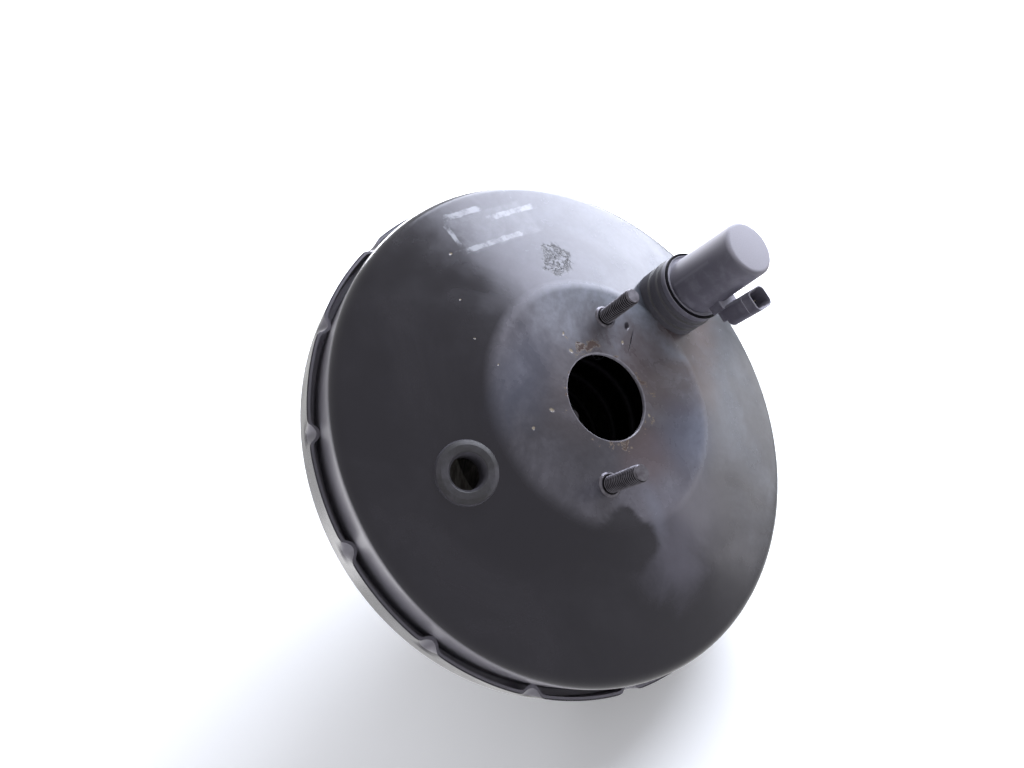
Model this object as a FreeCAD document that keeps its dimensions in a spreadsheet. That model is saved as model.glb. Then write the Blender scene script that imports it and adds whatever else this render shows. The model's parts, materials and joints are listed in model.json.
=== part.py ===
import FreeCAD, Part
import math
import os

import Sketcher
from FreeCAD import Vector

# Single-diaphragm vacuum brake booster, in millimetres.
# Y is the booster's axis. The bulkhead face is y = 0 and +Y points to the pedal.
# X runs along the line of the two master-cylinder studs.

doc = FreeCAD.newDocument("brake_booster")
sheet = doc.addObject("Spreadsheet::Sheet", "Sizes")
nodes = []

# Places of the studs as shares of their spacing.
STUD_PAIR = (("upper", 0.5), ("lower", -0.5))
STUD_SQUARE = ((0.5, 0.5), (0.5, -0.5), (-0.5, -0.5), (-0.5, 0.5))


class Size:
    """A number together with the sheet expression that gives it."""

    def __init__(self, value, text):
        self.value = value
        self.text = text

    def __add__(self, other):
        return combine(self, other, "+", lambda a, b: a + b)

    def __radd__(self, other):
        return combine(other, self, "+", lambda a, b: a + b)

    def __sub__(self, other):
        return combine(self, other, "-", lambda a, b: a - b)

    def __rsub__(self, other):
        return combine(other, self, "-", lambda a, b: a - b)

    def __mul__(self, other):
        return combine(self, other, "*", lambda a, b: a * b)

    def __rmul__(self, other):
        return combine(other, self, "*", lambda a, b: a * b)

    def __truediv__(self, other):
        return combine(self, other, "/", lambda a, b: a / b)

    def __neg__(self):
        return combine(0, self, "-", lambda a, b: a - b)


def value_of(item):
    return item.value if isinstance(item, Size) else float(item)


def text_of(item):
    return item.text if isinstance(item, Size) else repr(item)


def combine(left, right, sign, work):
    text = "(" + text_of(left) + " " + sign + " " + text_of(right) + ")"
    return Size(work(value_of(left), value_of(right)), text)


def root(item):
    return Size(math.sqrt(value_of(item)), "sqrt(" + text_of(item) + ")")


def slope_angle(rise, run):
    """The angle, in degrees, of a slope that climbs rise over run."""
    angle = math.degrees(math.atan2(value_of(rise), value_of(run)))
    return Size(angle, "atan(" + text_of(rise) + " / " + text_of(run) + ")")


def size(alias, number, note):
    """Write one driving dimension into the sheet and return it."""
    row = str(len(sheet.getUsedCells()) // 3 + 1)
    sheet.set("A" + row, alias)
    sheet.set("B" + row, str(number))
    sheet.set("C" + row, note)
    sheet.setAlias("B" + row, alias)
    return Size(float(number), "Sizes." + alias)


# Driving dimensions of the pressed steel housing.
sheet_steel = size("SheetSteel", 1.6, "wall of both shells")
pad_distance = size("PadDistance", 100, "front pad to bulkhead face")
pad_radius = size("PadRadius", 58, "flat of the front pad")
front_hole = size("FrontHole", 21.6, "radius of the front hole")
cone_drop = size("ConeDrop", 14, "fall of the front cone")
pad_bend = size("PadBend", 24, "bend from pad to cone")
shoulder_bend = size("ShoulderBend", 7, "bend from cone to side wall")
collar_radius = size("CollarRadius", 131, "outside of the crimped collar")
collar_step = size("CollarStep", 5, "front side wall inside the collar")
wall_radius = collar_radius - collar_step
collar_front = size("CollarFront", 66, "collar's front edge to bulkhead face")
collar_length = size("CollarLength", 17.6, "collar along the axis")
crimp_length = size("CrimpLength", 9, "length of one crimp")
crimp_count = size("CrimpCount", 16, "crimps round the collar")
crimp_turn = size("CrimpTurn", 14, "angle of the first crimp from -Z to +X")
fit_gap = size("FitGap", 0.2, "play of pressed pieces")
air_gap = size("AirGap", 0.3, "clearance between moving pieces")
bowl_step = size("BowlStep", 9.4, "rear bowl inside the collar")
bowl_radius = collar_radius - bowl_step
bowl_depth = size("BowlDepth", 30, "rear bowl's wall end to bulkhead face")
bowl_slope = size("BowlSlope", 9.6, "rear cone's outer edge inside the bowl")
bowl_cone_radius = bowl_radius - bowl_slope
bowl_cone_depth = size("BowlConeDepth", 14, "fall of the rear cone")
rear_pad_radius = size("RearPadRadius", 66, "flat of the bulkhead face")
neck_radius = size("NeckRadius", 32, "outside of the rear neck")
neck_length = size("NeckLength", 16, "rear neck beyond the bulkhead face")
neck_hole = size("NeckHole", 25, "radius of the hole in the neck's end")

# Studs and the plates that carry them.
plate_steel = size("PlateSteel", 3, "thickness of both stud plates")
front_plate_radius = size("FrontPlateRadius", 54, "front stud plate")
front_plate_hole = size("FrontPlateHole", 24, "hole in the front stud plate")
front_stud_spacing = size("FrontStudSpacing", 85, "between the master-cylinder studs")
front_stud_length = size("FrontStudLength", 23.5, "front studs beyond the pad")
stud_radius = size("StudRadius", 4, "M8 thread")
stud_head_radius = size("StudHeadRadius", 7.6, "welded head of a stud")
stud_head_height = size("StudHeadHeight", 3, "thickness of a stud's head")
stud_collar_radius = size("StudCollarRadius", 6, "swaged collar of a stud in shell and plate")
stud_chamfer = size("StudChamfer", 0.9, "lead-in of a stud")
rear_plate_width = size("RearPlateWidth", 92, "square rear stud plate")
rear_plate_corner = size("RearPlateCorner", 18, "corner radius of that plate")
rear_plate_hole = size("RearPlateHole", 35, "hole in the rear stud plate")
rear_stud_pitch = size("RearStudPitch", 72, "square of the bulkhead studs")
rear_stud_length = size("RearStudLength", 26, "rear studs beyond the bulkhead face")

# Vacuum grommet on the front cone.
port_x = size("PortX", -46, "grommet's place along X")
port_z = size("PortZ", 66.8, "grommet's place along Z")
port_bore = size("PortBore", 7.3, "bore for the check valve")
port_seat = size("PortSeat", 10.6, "hole in the shell")
port_flange = size("PortFlange", 13.8, "outer flange of the grommet")
port_flange_height = size("PortFlangeHeight", 2.4, "flange above the shell")
port_tail = size("PortTail", 9, "grommet inside the shell")

# Travel sensor on the front cone.
sensor_x = size("SensorX", 65.3, "sensor's place along X")
sensor_z = size("SensorZ", -44.5, "sensor's place along Z")
sensor_height = size("SensorHeight", 55, "sensor's top above the pad")
sensor_radius = size("SensorRadius", 13.8, "sensor at its top")
sensor_foot_radius = size("SensorFootRadius", 15.2, "sensor above its flange")
sensor_flange_radius = size("SensorFlangeRadius", 18.8, "flange on the grommet")
sensor_flange_height = size("SensorFlangeHeight", 3, "thickness of that flange")
sensor_nose_radius = size("SensorNoseRadius", 11.4, "nose inside the grommet")
sensor_nose_reach = size("SensorNoseReach", 12, "nose behind the pad plane")
boss_height = size("BossHeight", 13, "sensor grommet's top above the pad")
boss_radius = size("BossRadius", 19.4, "sensor grommet")
boss_lip = size("BossLip", 1.4, "depth of the grommet's grooves")
sensor_hole = size("SensorHole", 13, "hole in the shell")
connector_angle = size("ConnectorAngle", 142, "degrees from +X to the side connector")
connector_offset = size("ConnectorOffset", 22.65, "sensor axis to connector axis")
connector_width = size("ConnectorWidth", 13, "side connector across")
connector_depth = size("ConnectorDepth", 11, "side connector outwards")
connector_foot = size("ConnectorFoot", 26, "connector's foot above the pad")
connector_top = size("ConnectorTop", 45, "connector's mouth above the pad")
connector_wall = size("ConnectorWall", 1.5, "wall of the connector")
socket_depth = size("SocketDepth", 10, "depth of the connector's socket")
arm_height = size("ArmHeight", 9, "arm that carries the connector")
terminal_width = size("TerminalWidth", 1.5, "terminal blade across")
terminal_thickness = size("TerminalThickness", 0.8, "terminal blade")
terminal_length = size("TerminalLength", 5, "terminal above the socket's floor")
terminal_pitch = size("TerminalPitch", 2.8, "between terminals")
ring_wire = size("RingWire", 0.65, "radius of the retaining ring's wire")
plunger_radius = size("PlungerRadius", 3, "sensor plunger's rod")
plunger_head_radius = size("PlungerHeadRadius", 5.5, "sensor plunger's head")
plunger_head_height = size("PlungerHeadHeight", 5, "length of that head")
plunger_inside = size("PlungerInside", 16, "plunger's rod above its nose")
sensor_spring_turns = size("SensorSpringTurns", 7, "turns of the sensor spring")
sensor_bore_end = size("SensorBoreEnd", 5, "closed end of the sensor")
sensor_edge = size("SensorEdge", 2.4, "rounding of the sensor's top")
running_gap = size("RunningGap", 0.05, "radial play of sliding fits")

# Power piston.
rubber = size("Rubber", 2, "thickness of the diaphragm")
rear_clearance = size("RearClearance", 6, "plate's rear face to the rear cone's edge")
plate_face = bowl_cone_depth + rear_clearance
plate_step = size("PlateStep", 4, "plate's seat on the hub ahead of its face")
hub_front = plate_face + plate_step
nose_length = size("NoseLength", 16, "valve body's nose ahead of the hub")
boss_front = hub_front + nose_length
roll_width = size("RollWidth", 11.8, "diaphragm's roll outside the plate's rim")
fold_outer = bowl_radius - sheet_steel - fit_gap - rubber
plate_radius = fold_outer - roll_width
fold_step = size("FoldStep", 2.5, "inner end of the roll outside the plate's rim")
fold_radius = plate_radius + fold_step
tail_radius = size("TailRadius", 21, "valve body's tail")
tail_bore = size("TailBore", 17.5, "bore of the tail")
tail_length = size("TailLength", 24, "tail beyond the bulkhead face")
hub_radius = size("HubRadius", 34, "valve body's hub")
hub_rear = size("HubRear", 16, "rear of the hub to bulkhead face")
hub_cone = size("HubCone", 6, "cone behind the hub")
boss_outside = size("NoseRadius", 26, "valve body's nose")
disc_radius = size("DiscRadius", 12, "recess of the reaction disc")
disc_recess = size("DiscRecess", 7, "depth of that recess")
disc_thickness = size("DiscThickness", 5, "reaction disc")
guide_radius = size("GuideRadius", 6.4, "front land of the valve plunger")
chamber_radius = size("ChamberRadius", 9.5, "bore behind the guide")
guide_end = size("GuideEnd", 24, "end of the guide bore")
seat_radius = size("SeatRadius", 13, "outside of the valve body's seat")
seat_height = size("SeatHeight", 3, "seat above the moat round it")
passage_radius = size("PassageRadius", 1.9, "vacuum passages from the moat to the nose")
passage_depth = size("PassageDepth", 3.2, "passages' mouth ahead of the hub's front")
plate_thickness = size("PlateThickness", 1.2, "diaphragm plate")
plate_rim = size("PlateRim", 16, "height of the plate's rim")
plate_step_outer = size("PlateStepOuter", 46, "outer edge of the plate's step")
plate_step_inner = size("PlateStepInner", 38, "inner edge of the plate's step")
fold_depth = size("FoldDepth", 31.5, "fold to bulkhead face")
bead_width = size("BeadWidth", 10.4, "diaphragm's outer bead")
spring_radius = size("SpringRadius", 31, "return spring's coil")
spring_wire = size("SpringWire", 1.8, "radius of its wire")
spring_turns = size("SpringTurns", 5.5, "turns of the return spring")
cap_thickness = size("CapThickness", 1, "cap that holds the output rod")
cap_height = size("CapHeight", 11, "height of that cap")
output_rod_radius = size("OutputRodRadius", 5, "output rod")
output_rod_length = size("OutputRodLength", 22, "output rod's shank")
tip_radius = size("TipRadius", 4.5, "adjusting tip")
tip_length = size("TipLength", 8, "adjusting tip beyond the rod")
tip_thread = size("TipThread", 2.5, "thread of the adjusting tip")
tip_thread_length = size("TipThreadLength", 7, "length of that thread")

# Control valve and input rod.
valve_travel = size("ValveTravel", 2, "plunger's travel in the valve body")
land_length = size("LandLength", 6.2, "front land of the valve plunger")
waist_radius = size("WaistRadius", 3.5, "waist that the stop key holds")
waist_length = size("WaistLength", 6, "length of that waist")
socket_radius = size("SocketRadius", 8.2, "ball socket of the plunger")
socket_end = size("SocketEnd", 8, "plunger's rear seat to bulkhead face")
ball_radius = size("BallRadius", 4.5, "ball of the input rod")
ball_centre = size("BallCentre", 12.3, "ball's centre to bulkhead face")
ball_neck = size("BallNeck", 3.15, "input rod behind its ball")
key_thickness = size("KeyThickness", 2, "stop key")
key_width = size("KeyWidth", 9.8, "stop key across")
key_reach = size("KeyReach", 33, "stop key's outer end")
poppet_lip_radius = size("PoppetLipRadius", 14.5, "poppet's lip")
poppet_bore = size("PoppetBore", 7.5, "poppet's bore")
poppet_neck = size("PoppetNeck", 10.5, "poppet's bellows")
poppet_wall = size("PoppetWall", 1.6, "wall of the bellows")
poppet_length = size("PoppetLength", 12.7, "poppet along the axis")
poppet_lip = size("PoppetLip", 2.5, "thickness of the lip")
poppet_flange = size("PoppetFlange", 3, "thickness of the rear flange")
retainer_steel = size("RetainerSteel", 1.2, "poppet retainer")
rod_radius = size("RodRadius", 4, "input rod")
rod_collar_radius = size("RodCollarRadius", 11.5, "input rod's spring collar")
rod_collar_place = size("RodCollarPlace", 13, "that collar from the bulkhead face")
rod_collar_height = size("RodCollarHeight", 1.5, "that collar's thickness")
valve_spring_wire = size("ValveSpringWire", 0.45, "radius of the poppet spring's wire")
rod_spring_wire = size("RodSpringWire", 0.6, "radius of the rod spring's wire")
valve_spring_turns = size("ValveSpringTurns", 3, "turns of the poppet spring")
rod_spring_turns = size("RodSpringTurns", 3.5, "turns of the rod spring")
filter_bore = size("FilterBore", 7, "bore of filter and silencer")
silencer_height = size("SilencerHeight", 2.4, "felt silencer")
filter_height = size("FilterHeight", 5, "foam air filter")
rod_thread_radius = size("RodThreadRadius", 4.5, "thread of the input rod")
nut_place = size("NutPlace", 33.5, "lock nut from the bulkhead face")
nut_height = size("NutHeight", 5, "lock nut")
nut_width = size("NutWidth", 16, "lock nut across flats")
clevis_barrel_radius = size("ClevisBarrelRadius", 8, "clevis barrel")
clevis_barrel_length = size("ClevisBarrelLength", 8, "clevis barrel along the axis")
clevis_gap = size("ClevisGap", 12, "between the clevis arms")
clevis_arm = size("ClevisArm", 4.5, "thickness of one clevis arm")
clevis_end_radius = size("ClevisEndRadius", 9, "rounded end of the clevis")
clevis_reach = size("ClevisReach", 9, "fork's floor to pin axis")
clevis_pin = size("ClevisPin", 5, "radius of the pin hole")

# Rear bush, seal and boot.
bush_length = size("BushLength", 5.8, "guide bush")
washer_thickness = size("WasherThickness", 1.2, "seal retainer")
washer_place = size("WasherPlace", 1, "seal retainer from the bulkhead face")
seal_relief = size("SealRelief", 1, "washer and seal root clear of the tail")
boot_rubber = size("BootRubber", 1.5, "wall of the dust boot")
boot_start = size("BootStart", 5, "boot's front edge from the bulkhead face")
boot_end = size("BootEnd", 32.5, "boot's rear edge from the bulkhead face")
boot_lead = size("BootLead", 2.5, "boot's straight mouth beyond the neck")
boot_half_fold = size("BootHalfFold", 2.15, "crest to valley along the axis")
boot_fold_depth = size("BootFoldDepth", 6, "crest to the next valley inwards")
boot_fold_fall = size("BootFoldFall", 2.4, "each crest inside the one before")

doc.recompute()


def bind(item, path, number):
    """Tie one property of an object to the sheet."""
    item.setExpression(path, text_of(number))


def place(item, x=0, y=0, z=0, axis=(0, 1, 0), angle=0):
    """Put an object at a point of the row frame, turned about an axis."""
    point = "; ".join(text_of(n) for n in (x, y, z))
    line = "; ".join(text_of(n) for n in axis)
    turn = "rotation(vector(" + line + "); " + text_of(angle) + ")"
    item.setExpression("Placement", "placement(vector(" + point + "); " + turn + ")")


def place_along_y(item, x=0, y=0, z=0, axis=(0, 1, 0), angle=0, start=0):
    """Place a primitive whose own axis is Z so that it runs along +Y from start, then turn it."""
    point = "; ".join(text_of(n) for n in (x, y, z))
    line = "; ".join(text_of(n) for n in axis)
    first = "placement(vector(" + point + "); rotation(vector(" + line + "); " + text_of(angle) + "))"
    second = "placement(vector(0; " + text_of(start) + "; 0); rotation(vector(1; 0; 0); -90))"
    item.setExpression("Placement", first + " * " + second)


def node(item, label):
    """Name a finished piece and list it for export."""
    item.Label = label
    nodes.append(item)
    return item


def origin_part(body, role):
    """The body's own origin plane or axis with this role."""
    return [part for part in body.Origin.OriginFeatures if part.Role == role][0]


def pin_point(sketch, element, end, corner):
    """Hold a point of the sketch at a corner given as two sizes."""
    for kind, number in (("DistanceX", corner[0]), ("DistanceY", corner[1])):
        index = sketch.addConstraint(Sketcher.Constraint(kind, -1, 1, element, end, value_of(number)))
        if isinstance(number, Size):
            bind(sketch, "Constraints[" + str(index) + "]", number)


def bend_points(before, corner, after, radius):
    """Tangent points and middle point of a bend, and whether the path turns left there."""
    towards = (before - corner).normalize()
    away = (after - corner).normalize()
    half_angle = towards.getAngle(away) / 2
    cut = radius / math.tan(half_angle)
    centre = corner + (towards + away).normalize() * (radius / math.sin(half_angle))
    middle = centre + (corner - centre).normalize() * radius
    turns_left = towards.cross(away).z < 0
    return corner + towards * cut, middle, corner + away * cut, turns_left


def draw_outline(sketch, corners, bends, closed):
    """Lines through the corners, with a tangent arc at each corner that has a bend."""
    points = [Vector(value_of(c[0]), value_of(c[1]), 0) for c in corners]
    count = len(points)
    starts = list(points)
    ends = list(points)
    arcs = {}
    for i in bends:
        after = points[(i + 1) % count]
        arcs[i] = bend_points(points[i - 1], points[i], after, value_of(bends[i]))
        ends[i] = arcs[i][0]
        starts[i] = arcs[i][2]
    line_count = count if closed else count - 1
    lines = []
    for i in range(line_count):
        lines.append(sketch.addGeometry(Part.LineSegment(starts[i], ends[(i + 1) % count])))
    for i in range(count):
        has_before = closed or i > 0
        has_after = closed or i < count - 1
        if i in arcs:
            join_with_arc(sketch, lines[i - 1], lines[i], arcs[i], bends[i], corners[i], points[i])
        elif has_before and has_after:
            sketch.addConstraint(Sketcher.Constraint("Coincident", lines[i - 1], 2, lines[i], 1))
            pin_point(sketch, lines[i], 1, corners[i])
        elif has_after:
            pin_point(sketch, lines[i], 1, corners[i])
        else:
            pin_point(sketch, lines[i - 1], 2, corners[i])


def join_with_arc(sketch, line_in, line_out, bend, radius, corner, point):
    """A bend between two lines, whose sharp corner is held by a construction point."""
    first, middle, last, left = bend
    arc = sketch.addGeometry(Part.Arc(first, middle, last))
    arc_start, arc_end = (1, 2) if left else (2, 1)
    sketch.addConstraint(Sketcher.Constraint("Tangent", line_in, 2, arc, arc_start))
    sketch.addConstraint(Sketcher.Constraint("Tangent", arc, arc_end, line_out, 1))
    index = sketch.addConstraint(Sketcher.Constraint("Radius", arc, value_of(radius)))
    if isinstance(radius, Size):
        bind(sketch, "Constraints[" + str(index) + "]", radius)
    mark = sketch.addGeometry(Part.Point(point), True)
    sketch.addConstraint(Sketcher.Constraint("PointOnObject", mark, 1, line_in))
    sketch.addConstraint(Sketcher.Constraint("PointOnObject", mark, 1, line_out))
    pin_point(sketch, mark, 1, corner)


def new_body(label):
    return doc.addObject("PartDesign::Body", label)


def body_sketch(body, name, role, depth=0):
    """An empty sketch on one of the body's origin planes, moved along its normal by depth."""
    sketch = body.newObject("Sketcher::SketchObject", name)
    sketch.AttachmentSupport = (origin_part(body, role), [""])
    sketch.MapMode = "FlatFace"
    if isinstance(depth, Size):
        bind(sketch, "AttachmentOffset.Base.z", depth)
    return sketch


def turned_body(label, corners, bends=None):
    """A body turned about the Y axis from (radius, station) corners."""
    body = new_body(label)
    sketch = body_sketch(body, label + "_outline", "XY_Plane")
    draw_outline(sketch, corners, bends or {}, True)
    turning = body.newObject("PartDesign::Revolution", label + "_turning")
    turning.Profile = sketch
    turning.ReferenceAxis = (sketch, ["V_Axis"])
    turning.Angle = 360
    doc.recompute()
    return body


def pressed_sheet(label, corners, bends, thickness):
    """A sheet of even thickness turned about the Y axis, on the left of the path."""
    sketch = doc.addObject("Sketcher::SketchObject", label + "_path")
    draw_outline(sketch, corners, bends, False)
    doc.recompute()
    section = doc.addObject("Part::Offset2D", label + "_section")
    section.Source = sketch
    section.Mode = "Skin"
    section.Fill = True
    section.Join = 2
    bind(section, "Value", thickness)
    doc.recompute()
    # The offset may grow to either side of an open path, so the side is looked at.
    first = Vector(value_of(corners[0][0]), value_of(corners[0][1]), 0)
    second = Vector(value_of(corners[1][0]), value_of(corners[1][1]), 0)
    along = (second - first).normalize()
    probe = first + along * value_of(thickness) + Vector(-along.y, along.x, 0) * (value_of(thickness) / 2)
    if section.Shape.distToShape(Part.Vertex(probe))[0] > 0.01 * value_of(thickness):
        bind(section, "Value", -thickness)
        doc.recompute()
    turning = doc.addObject("Part::Revolution", label + "_turning")
    turning.Source = section
    turning.Axis = Vector(0, 1, 0)
    turning.Angle = 360
    turning.Solid = True
    doc.recompute()
    return turning


def body_on(label, base):
    """A body that works on from a finished solid."""
    body = new_body(label)
    body.BaseFeature = base
    doc.recompute()
    return body


def round_hole(body, name, radius, length, x, y, z, axis=(0, 1, 0), angle=0):
    """A round hole through the body along Y, or a turned Y, as far before (x, y, z) as behind it."""
    hole = body.newObject("PartDesign::SubtractiveCylinder", name)
    bind(hole, "Radius", radius)
    bind(hole, "Height", length)
    place_along_y(hole, x, y, z, axis, angle, -length / 2)
    doc.recompute()
    return hole


def coil_spring(label, radius, wire, turns, low, high, flats):
    """A coil spring between two stations on the Y axis, its wire drawn with a few flats."""
    height = high - low - 2 * wire
    helix = doc.addObject("Part::Helix", label + "_helix")
    bind(helix, "Radius", radius)
    bind(helix, "Height", height)
    bind(helix, "Pitch", height / turns)
    helix.SegmentLength = 0.5
    section = doc.addObject("Part::RegularPolygon", label + "_wire")
    section.Polygon = flats
    bind(section, "Circumradius", wire)
    place(section, x=radius, axis=(1, 0, 0), angle=90)
    doc.recompute()
    spring = doc.addObject("Part::Sweep", label)
    spring.Sections = [section]
    spring.Spine = (helix, ["Edge" + str(i + 1) for i in range(len(helix.Shape.Edges))])
    spring.Solid = True
    spring.Frenet = True
    return spring


def tube_body(label, bore, radius, low, high):
    """A plain ring or tube about the Y axis."""
    return turned_body(label, [(bore, low), (radius, low), (radius, high), (bore, high)])


def group(label, pieces):
    """Like pieces that share one node as separate solids."""
    compound = doc.addObject("Part::Compound", label)
    compound.Links = pieces
    return node(compound, label)


# Stations along the Y axis that several pieces share.
pad_y = -pad_distance
flange_y = -collar_front + crimp_length
collar_rear_y = -collar_front + collar_length
bead_rear_y = collar_rear_y - sheet_steel
cone_run = wall_radius - pad_radius
cone_angle = slope_angle(cone_drop, cone_run)
collar_bore = collar_radius - sheet_steel
neck_bore = neck_radius - sheet_steel
front_inside_y = pad_y + sheet_steel
front_plate_rear_y = front_inside_y + plate_steel
rear_plate_front_y = -sheet_steel - plate_steel


def cone_station(x, z):
    """Station of the front cone's outer surface above a point of the XZ plane."""
    return pad_y + cone_drop * (root(x * x + z * z) - pad_radius) / cone_run


def front_shell():
    """Dished front shell with its flange inside the collar."""
    corners = [
        (front_hole, pad_y),
        (pad_radius, pad_y),
        (wall_radius, pad_y + cone_drop),
        (wall_radius, flange_y),
        (collar_bore - fit_gap, flange_y),
    ]
    bends = {1: pad_bend, 2: shoulder_bend, 3: sheet_steel / 2}
    base = pressed_sheet("front_pressing", corners, bends, sheet_steel)
    body = body_on("front_shell", base)
    reach = 6 * sheet_steel
    for name, side in STUD_PAIR:
        x = front_stud_spacing * side
        round_hole(body, "front_stud_hole_" + name, stud_collar_radius, reach, x, pad_y, 0)
    y = cone_station(sensor_x, sensor_z)
    round_hole(body, "sensor_hole", sensor_hole, 2 * reach, sensor_x, y, sensor_z)
    y = cone_station(port_x, port_z)
    tilt = (-port_z, 0, port_x)
    round_hole(body, "port_hole", port_seat, 2 * reach, port_x, y, port_z, tilt, cone_angle)
    return node(body, "front_shell")


def rear_shell():
    """Rear bowl with bulkhead face, neck and the collar with its crimps."""
    corners = [
        (collar_radius, -collar_front),
        (collar_radius, collar_rear_y),
        (bowl_radius, collar_rear_y),
        (bowl_radius, -bowl_depth),
        (bowl_cone_radius, -bowl_cone_depth),
        (rear_pad_radius, 0),
        (neck_radius, 0),
        (neck_radius, neck_length),
        (neck_hole, neck_length),
    ]
    tight, mild, wide = sheet_steel / 2, 2 * sheet_steel, 7 * sheet_steel
    bends = {1: mild, 2: tight, 3: wide, 4: wide, 5: 6 * sheet_steel, 6: tight, 7: mild}
    base = pressed_sheet("rear_pressing", corners, bends, sheet_steel)
    body = body_on("rear_shell", base)
    # Each crimp is a dent that narrows to the rear, so that it locks in front of the flange.
    turn = math.radians(crimp_turn.value)
    reach = wall_radius + air_gap + sheet_steel
    axis_radius = collar_radius + sheet_steel
    tool_radius = axis_radius - reach
    metal = body.newObject("PartDesign::AdditiveCone", "crimp_metal")
    bind(metal, "Radius1", tool_radius + sheet_steel)
    bind(metal, "Radius2", sheet_steel)
    dent = body.newObject("PartDesign::SubtractiveCone", "crimp_dent")
    bind(dent, "Radius1", tool_radius)
    bind(dent, "Radius2", tool_radius / 50)
    for cone in (metal, dent):
        bind(cone, "Height", crimp_length - sheet_steel)
        x = axis_radius * Size(math.sin(turn), "sin(" + crimp_turn.text + ")")
        z = -axis_radius * Size(math.cos(turn), "cos(" + crimp_turn.text + ")")
        place_along_y(cone, x, -collar_front, z)
    doc.recompute()
    around = body.newObject("PartDesign::PolarPattern", "crimps")
    around.Originals = [metal, dent]
    around.Axis = (origin_part(body, "Y_Axis"), [""])
    around.Angle = 360
    bind(around, "Occurrences", crimp_count)
    body.Tip = around
    doc.recompute()
    trim = body_sketch(body, "collar_trim_outline", "XY_Plane")
    outer = axis_radius + tool_radius + 2 * sheet_steel
    rear = -collar_front + crimp_length
    draw_outline(trim, [
        (collar_radius, -collar_front - sheet_steel),
        (outer, -collar_front - sheet_steel),
        (outer, rear),
        (collar_radius, rear),
    ], {}, True)
    groove = body.newObject("PartDesign::Groove", "collar_trim")
    groove.Profile = trim
    groove.ReferenceAxis = (trim, ["V_Axis"])
    groove.Angle = 360
    doc.recompute()
    for i, (sx, sz) in enumerate(STUD_SQUARE):
        x = rear_stud_pitch * sx
        z = rear_stud_pitch * sz
        round_hole(body, "rear_stud_hole_" + str(i), stud_collar_radius, 4 * sheet_steel, x, 0, z)
    return node(body, "rear_shell")


def front_stud_plate():
    """Round plate that spreads the master cylinder's load."""
    stations = (front_inside_y, front_plate_rear_y)
    body = tube_body("front_stud_plate", front_plate_hole, front_plate_radius, *stations)
    for name, side in STUD_PAIR:
        x = front_stud_spacing * side
        round_hole(body, "plate_hole_" + name, stud_collar_radius, 3 * plate_steel, x, front_inside_y, 0)
    return node(body, "front_stud_plate")


def rear_stud_plate():
    """Square plate with rounded corners that spreads the bulkhead load."""
    body = new_body("rear_stud_plate")
    sketch = body_sketch(body, "rear_plate_outline", "XZ_Plane", sheet_steel)
    half = rear_plate_width / 2
    corners = [(-half, -half), (half, -half), (half, half), (-half, half)]
    draw_outline(sketch, corners, {i: rear_plate_corner for i in range(4)}, True)
    pad = body.newObject("PartDesign::Pad", "rear_plate_pad")
    pad.Profile = sketch
    bind(pad, "Length", plate_steel)
    doc.recompute()
    round_hole(body, "rear_plate_opening", rear_plate_hole, 6 * plate_steel, 0, 0, 0)
    for i, (sx, sz) in enumerate(STUD_SQUARE):
        x = rear_stud_pitch * sx
        z = rear_stud_pitch * sz
        round_hole(body, "rear_plate_hole_" + str(i), stud_collar_radius, 6 * plate_steel, x, 0, z)
    return node(body, "rear_stud_plate")


def master_cylinder_studs():
    """Two M8 studs with a welded head inside and a swaged collar in shell and plate."""
    head_y = front_plate_rear_y + stud_head_height
    tip_y = pad_y - front_stud_length
    corners = [
        (0, tip_y),
        (stud_radius - stud_chamfer, tip_y),
        (stud_radius, tip_y + stud_chamfer),
        (stud_radius, pad_y),
        (stud_collar_radius, pad_y),
        (stud_collar_radius, front_plate_rear_y),
        (stud_head_radius, front_plate_rear_y),
        (stud_head_radius, head_y),
        (0, head_y),
    ]
    studs = []
    for name, side in STUD_PAIR:
        stud = turned_body("front_stud_" + name, corners)
        place(stud, x=front_stud_spacing * side)
        studs.append(stud)
    return group("master_cylinder_studs", studs)


def bulkhead_studs():
    """Four M8 studs on a square."""
    head_y = rear_plate_front_y - stud_head_height
    tip_y = rear_stud_length
    corners = [
        (0, head_y),
        (stud_head_radius, head_y),
        (stud_head_radius, rear_plate_front_y),
        (stud_collar_radius, rear_plate_front_y),
        (stud_collar_radius, 0),
        (stud_radius, 0),
        (stud_radius, tip_y - stud_chamfer),
        (stud_radius - stud_chamfer, tip_y),
        (0, tip_y),
    ]
    studs = []
    for i, (sx, sz) in enumerate(STUD_SQUARE):
        stud = turned_body("rear_stud_" + str(i), corners)
        place(stud, x=rear_stud_pitch * sx, z=rear_stud_pitch * sz)
        studs.append(stud)
    return group("bulkhead_studs", studs)


def vacuum_grommet(shell):
    """Rubber grommet on the cone, shaped to the shell that it grips."""
    shoulder = port_flange_height / 2
    corners = [
        (port_bore, -port_flange_height),
        (port_flange - shoulder, -port_flange_height),
        (port_flange, -port_flange_height + shoulder),
        (port_flange, 2 * sheet_steel),
        (port_flange - 1.5 * sheet_steel, 4 * sheet_steel),
        (port_seat - sheet_steel, port_tail),
        (port_bore, port_tail),
    ]
    blank = turned_body("vacuum_grommet_blank", corners, {1: shoulder / 2, 2: shoulder / 2})
    y = cone_station(port_x, port_z)
    place(blank, port_x, y, port_z, (-port_z, 0, port_x), cone_angle)
    grommet = doc.addObject("Part::Cut", "vacuum_grommet")
    grommet.Base = blank
    grommet.Tool = shell
    return node(grommet, "vacuum_grommet")


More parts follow.
